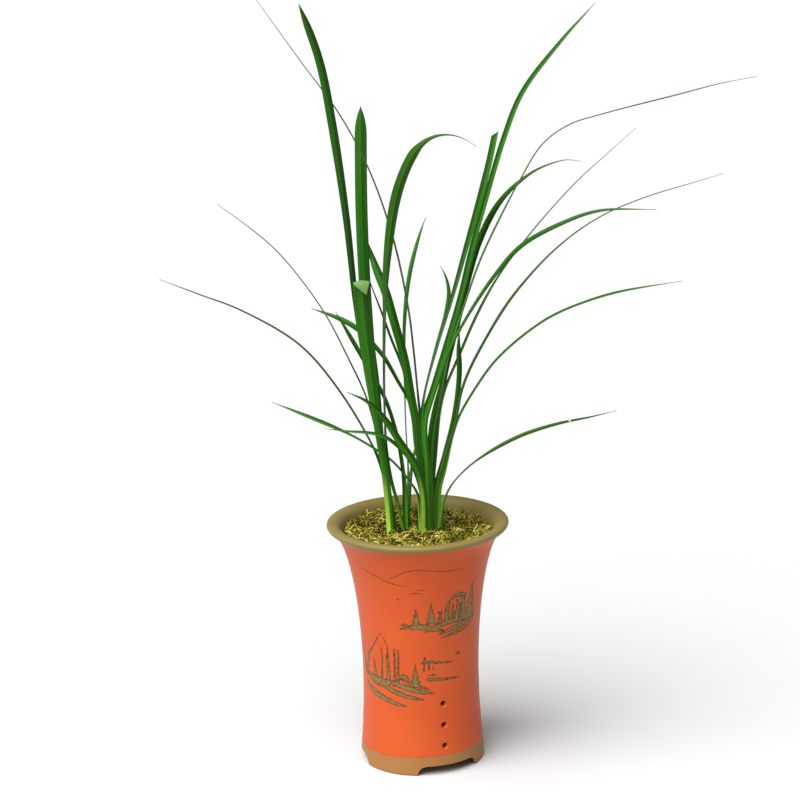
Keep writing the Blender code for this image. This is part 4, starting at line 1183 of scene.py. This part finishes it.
# %% Grow the leaves
YOUNG = {
    "left_leaf_1": 0.9, "left_leaf_2": 0.5, "front_leaf_1": 0.9, "front_leaf_2": 1.0, "front_leaf_3": 1.0,
}
DRY = {"pointed": 1.0, "drawn out": 1.0, "short": 0.5}
ELSEWHERE = 0.1  # how young or dry any other leaf is
EDGE_ON_SHADE_TWISTS = (45.0, 75.0)  # degrees of twist, from no painted shade to all of it
LIT_HALF_SWING = 0.34
POINTS_ROUND = 20


def leaf_foot(first, step, k):
    """The place (right, away) of leaf number k of a shoot."""
    return first[0] + step[0] * k, first[1] + step[1] * k


chance = random.Random(11)
total = 0
for shoot, first, step, turn, leaves in SHOOTS:
    for k, leaf in enumerate(leaves):
        node = f"{shoot}_leaf_{k + 1}"
        twist = sum(abs(t) for t in leaf[2]) / len(leaf[2])
        # which half gets the painted light; for a young leaf it is the side of its pale foot
        tone, sunlit_half = chance.random(), chance.choice((-1.0, 1.0))
        if node in YOUNG:
            sunlit_half = -1.0
        # the more a leaf twists edge-on, the more painted shade dulls it
        of_leaf = {
            "tone": tone, "young": YOUNG.get(node, ELSEWHERE), "dry": DRY.get(leaf[0], ELSEWHERE),
            "old": ease((twist - EDGE_ON_SHADE_TWISTS[0]) / (EDGE_ON_SHADE_TWISTS[1] - EDGE_ON_SHADE_TWISTS[0])),
            "swing": LIT_HALF_SWING * sunlit_half,
        }
        rows = leaf_rows(leaf_foot(first, step, k), turn, leaf)
        values = {"Points Round": POINTS_ROUND, "Leaf Surface": leaf_surface}
        mesh = path_mesh(node + "_path", rows, leaf[0], of_leaf)
        blade = run_tree(node + "_path", mesh, loft, values, node + "_blade")
        total += len(finish_piece(blade, node).data.polygons)
print("leaves have", total, "faces in all")

# %% [markdown]
# ## Moss
# The moss is a lumpy cushion that fills the mouth of the pot, grown over with short curling strands. The
# cushion is turned like the pot and then raised by a sum of waves, the same ones as in the solid, and by a
# few tufts at its edge. It is dark, because only the shade between the strands shows it.

# %% Moss cushion
MOSS_TOP = 236.5
MOSS_BOTTOM = 225.9
MOSS_CLEARANCE = 0.4
MOSS_SHOULDER = 1.0
MOSS_RINGS = 36
MOSS_STEPS = 120
moss_edge = wall_radius(WALL_INSIDE, MOSS_TOP - MOSS_SHOULDER) - MOSS_CLEARANCE
moss_foot = wall_radius(WALL_INSIDE, MOSS_BOTTOM) - MOSS_CLEARANCE
profile = [(moss_edge * i / MOSS_RINGS, MOSS_TOP) for i in range(MOSS_RINGS)]
profile += [(moss_edge, MOSS_TOP - MOSS_SHOULDER), (moss_foot, MOSS_BOTTOM), (0.0, MOSS_BOTTOM)]
cushion = plain_mesh(turn_profile("moss_profile", profile, False, MOSS_STEPS), "moss_cushion")
print("moss cushion:", len(cushion.data.polygons), "faces")

# %% Raise the moss into lumps and tufts
WAVE_COUNT = 9
WAVE_RATES = (0.04, 0.16)  # radians in a mm
LUMP_HEIGHT = 1.6
TUFT_HEIGHT = 3.0
# each tuft: how far right and away it is, and its radius
TUFTS = ((-61.0, 12.0, 10.0), (-50.0, 31.0, 9.0), (-30.0, 45.0, 7.0), (52.0, 20.0, 8.0))
SHOOT_CLEARANCE = 2.0  # mm round the leaves' feet that stay bare, and as many again to the full moss


def shoot_distance(point):
    """How far a point is from the nearest row of leaf feet, in mm."""
    nearest = math.inf
    for _, first, step, _, leaves in SHOOTS:
        a = room(*first, 0.0)
        b = room(*leaf_foot(first, step, len(leaves) - 1), 0.0)
        flat = Vector((point.x, point.y, 0.0))
        share = min(1.0, max(0.0, (flat - a).dot(b - a) / (b - a).length_squared))
        nearest = min(nearest, (a.lerp(b, share) - flat).length / MM)
    return nearest


chance = random.Random(4)
waves = []
for _ in range(WAVE_COUNT):
    heading = chance.uniform(0.0, math.tau)
    across = Vector((math.cos(heading), math.sin(heading), 0.0)) / MM
    waves.append((chance.uniform(*WAVE_RATES) * across, chance.uniform(0.0, math.tau)))
thickly, tufted = (cushion.data.attributes.new(n, "FLOAT", "POINT") for n in ("thickly", "tufted"))
for vertex, thick, tuft in zip(cushion.data.vertices, thickly.data, tufted.data):
    if vertex.co.z < (MOSS_TOP - 0.5 * MOSS_SHOULDER) * MM:
        continue
    thick.value = ease((shoot_distance(vertex.co) - SHOOT_CLEARANCE) / SHOOT_CLEARANCE)
    for right_mm, away_mm, radius in TUFTS:
        off = (room(right_mm, away_mm, 0.0) - vertex.co.xy.to_3d()).length / MM
        tuft.value = max(tuft.value, ease(1.0 - off / radius))
    lump = sum(math.sin(wave.dot(vertex.co) + phase) for wave, phase in waves) / math.sqrt(WAVE_COUNT)
    vertex.co.z += (LUMP_HEIGHT * lump + TUFT_HEIGHT * tuft.value) * MM
cushion.data.shade_smooth()
print("highest moss:", round(max(v.co.z for v in cushion.data.vertices) / MM, 1), "mm")

# %% [markdown]
# The strands are scattered by Geometry Nodes. Four curling strands are drawn as waved lines with a
# three-sided section, one is picked for each point, and each is turned at random but kept close to the
# cushion, except in the tufts, where strands stand up.

# %% The tree that scatters strands: four kinds of strand
# sideways swing and its rate, lift and its rate, and where the waves start
CURLS = (
    (0.20, 5.0, 0.12, 7.0, 0.3), (0.30, 4.0, 0.18, 5.0, 1.9), (0.18, 8.0, 0.14, 9.0, 3.1),
    (0.36, 6.5, 0.22, 4.0, 4.4),
)
STRAND_SAMPLES = 8
STRAND_SIDES = 3
inputs = {
    "Cushion": "Geometry", "Strands per m2": "Float", "Length": "Float", "Strand Radius": "Float",
    "Seed": "Int", "Strand Surface": "Material",
}
scatter, given = new_tree("scatter_moss", inputs, "Moss")
add = partial(add_node, scatter)
factor = add("GeometryNodeSplineParameter", output="Factor")
section = add("GeometryNodeCurvePrimitiveCircle", Resolution=STRAND_SIDES, Radius=given["Strand Radius"])
scaled = add("ShaderNodeCombineXYZ", *[given["Length"]] * 3)
strand_kinds = scatter.nodes.new("GeometryNodeJoinGeometry")
for swing, turns, lift, hops, start in CURLS:
    line = add("GeometryNodeCurvePrimitiveLine", Start=(-0.5, 0, 0), End=(0.5, 0, 0))
    line = add("GeometryNodeResampleCurve", Curve=line, Count=STRAND_SAMPLES)
    offsets = {}
    for axis, height, rate in (("Y", swing, turns), ("Z", lift, hops)):
        wave = add("ShaderNodeMath MULTIPLY_ADD", factor, rate, start)
        wave = add("ShaderNodeMath SINE", wave)
        offsets[axis] = add("ShaderNodeMath MULTIPLY", wave, height)
    offset = add("ShaderNodeCombineXYZ", **offsets)
    line = add("GeometryNodeSetPosition", Geometry=line, Offset=offset)
    line = add("GeometryNodeTransform", Geometry=line, Scale=scaled)
    strand = add("GeometryNodeCurveToMesh", Curve=line, Profile_Curve=section, Fill_Caps=True)
    strand = add("GeometryNodeGeometryToInstance", Geometry=strand)
    scatter.links.new(strand, strand_kinds.inputs[0])
print("strand kinds:", len(CURLS))

# %% The tree that scatters strands: placing them
STRAND_TILT = 0.75  # radians to either side
TILTS = {"Min": (-STRAND_TILT, -STRAND_TILT, 0.0), "Max": (STRAND_TILT, STRAND_TILT, math.tau)}
SIZES = {"Min": 0.55, "Max": 1.35, "Seed": 7}
LIFTS = {"Min": -0.0004, "Max": 0.0028, "Seed": 3}
TUFT_LIFT = 2.6
thick, tuft = (
    add("GeometryNodeInputNamedAttribute", Name=name, data_type="FLOAT")
    for name in ("thickly", "tufted")
)
seed = given["Seed"]
density = add("ShaderNodeMath MULTIPLY", thick, given["Strands per m2"])
spread = add(
    "GeometryNodeDistributePointsOnFaces", Mesh=given["Cushion"], Density=density, Seed=seed
).node.outputs
tilt = add("FunctionNodeRandomValue", **TILTS, Seed=seed, data_type="FLOAT_VECTOR")
stand = add("ShaderNodeMath ADD", tuft, 1.0)
stand = add("ShaderNodeCombineXYZ", stand, stand, 1.0)
tilt = add("ShaderNodeVectorMath MULTIPLY", tilt, stand)
turn = add("FunctionNodeEulerToRotation", Euler=tilt)
turned = add("FunctionNodeRotateRotation", Rotation=spread["Rotation"], Rotate_By=turn)
size = add("FunctionNodeRandomValue", **SIZES, data_type="FLOAT")
strands = add(
    "GeometryNodeInstanceOnPoints", Points=spread["Points"], Instance=strand_kinds.outputs[0],
    Pick_Instance=True, Rotation=turned, Scale=size,
)
lift = add("FunctionNodeRandomValue", **LIFTS, data_type="FLOAT")
lift_more = add("ShaderNodeMath MULTIPLY_ADD", tuft, TUFT_LIFT, 1.0)
lift = add("ShaderNodeMath MULTIPLY", lift, lift_more)
lift = add("ShaderNodeCombineXYZ", Z=lift)
strands = add("GeometryNodeTranslateInstances", Instances=strands, Translation=lift, Local_Space=False)
print("scatter tree:", len(scatter.nodes), "nodes so far")

# %% [markdown]
# A random number stored on every strand lets the material give each its own colour.

# %% The tree that scatters strands: finishing them
tone = add("FunctionNodeRandomValue", Min=0.0, Max=1.0, Seed=9, data_type="FLOAT")
strands = add(
    "GeometryNodeStoreNamedAttribute", Geometry=strands, Name="tone", Value=tone, data_type="FLOAT",
    domain="INSTANCE",
)
end_tree(scatter, strands, given["Strand Surface"])
print("scatter tree:", len(scatter.nodes), "nodes")

# %% [markdown]
# Dried moss is golden where its strands catch the light and brown in its depths, with greener patches.
# The ramp picks a strand's colour by its own number, shifted a little by patches of a few centimetres.

# %% Moss materials
PATCH_SCALE = 60.0
PATCH_SHARE = 1.7
GREENER_SCALE = 35.0
GREENER = {"From_Min": 0.5, "From_Max": 0.7, "To_Max": 0.4}


def moss_material(name, colours, roughness):
    """Dried moss: each strand takes its colour from its own random number."""
    made, tree, shader, coords = new_material(name, Roughness=roughness, IOR=1.4, Specular_IOR_Level=0.2)
    add = partial(add_node, tree)
    tone = add("ShaderNodeAttribute", output="Fac", attribute_name="tone")
    patch = add("ShaderNodeTexNoise", Vector=coords, Scale=PATCH_SCALE, Detail=2.0)
    mixed = add("ShaderNodeMath SUBTRACT", patch, 0.5)
    mixed = add("ShaderNodeMath MULTIPLY_ADD", mixed, PATCH_SHARE, tone)
    ramp = add("ShaderNodeValToRGB", Fac=mixed)
    fill_ramp(ramp, [(i / (len(colours) - 1), colour) for i, colour in enumerate(colours)])
    greener = add("ShaderNodeTexNoise", Vector=coords, Scale=GREENER_SCALE)
    greener = add("ShaderNodeMapRange", Value=greener, **GREENER)
    colour = add("ShaderNodeMix", Factor=greener, A=ramp, B=linear("667026"), data_type="RGBA")
    tree.links.new(colour, shader.inputs["Base Color"])
    return made


golden = ("2e2a06", "5e5a17", "857c23", "a09332", "d2c268")
strand_surface = moss_material("dried_moss_strands", golden, 0.75)
cushion_surface = moss_material("shaded_moss_bed", ("252108", "352f0e", "4c4517"), 0.95)
print("moss materials ready")

# %% [markdown]
# The tree runs on a copy of the cushion. A strand that would reach into the pot's wall is then pressed back
# against it, as real moss is.

# %% Scatter the strands
STRAND_REACH = 73.0 * MM
values = {
    "Strands per m2": 215000.0, "Length": 0.0104, "Strand Radius": 0.00062, "Seed": 5,
    "Strand Surface": strand_surface,
}
strands = run_tree("moss_strand_points", cushion.data.copy(), scatter, values, "moss_strands")
for vertex in strands.data.vertices:
    reach = math.hypot(vertex.co.x, vertex.co.y)
    if reach > STRAND_REACH:
        vertex.co.x *= STRAND_REACH / reach
        vertex.co.y *= STRAND_REACH / reach
cushion.data.materials.append(cushion_surface)
for piece in (strands, cushion):
    finish_piece(piece, "moss")
print("moss strands:", sum(len(p.vertices) - 2 for p in strands.data.polygons), "triangles")

# %% [markdown]
# ## Below the moss
# The rootstock, the potting mix and the drainage grit keep their solids, because little of them shows
# through the moss and the holes. Each gets the surface of the real thing: living roots, shredded bark and
# pebbles, with lumps as large as the real pieces.

# %% Materials of the filling
def lumpy(name, size_mm, colours, roughness, depth_mm):
    """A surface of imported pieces: Voronoi cells of the pieces' size, each with its own shade."""
    made, tree, shader, coords = new_material(name, Roughness=roughness, IOR=1.45)
    add = partial(add_node, tree)
    cells = add("ShaderNodeTexVoronoi", Vector=coords, Scale=1.0 / (size_mm * MM))
    shade = add("ShaderNodeSeparateColor", cells.node.outputs["Color"])
    dark, light = (linear(colour) for colour in colours)
    mixed = add("ShaderNodeMix", Factor=shade, A=dark, B=light, data_type="RGBA")
    tree.links.new(mixed, shader.inputs["Base Color"])
    depth = depth_mm * MM
    bump = add("ShaderNodeBump", Height=cells, Distance=depth, Strength=1.0, invert=True)
    tree.links.new(bump, shader.inputs["Normal"])
    return made


for node, surface in (
    ("rootstock", lumpy("orchid_bulb_skin", 3.0, ("6f7a34", "8d8a4a"), 0.6, 0.3)),
    ("potting_mix", lumpy("shredded_bark", 6.0, ("2b1b10", "5b3d25"), 0.95, 2.0)),
    ("drainage_grit", lumpy("river_grit", 5.0, ("5d564a", "9a917f"), 0.85, 2.0)),
):
    solid = nodes[node]
    solid.data.materials.clear()
    solid.data.materials.append(surface)
    print(node, "dressed with", surface.name)
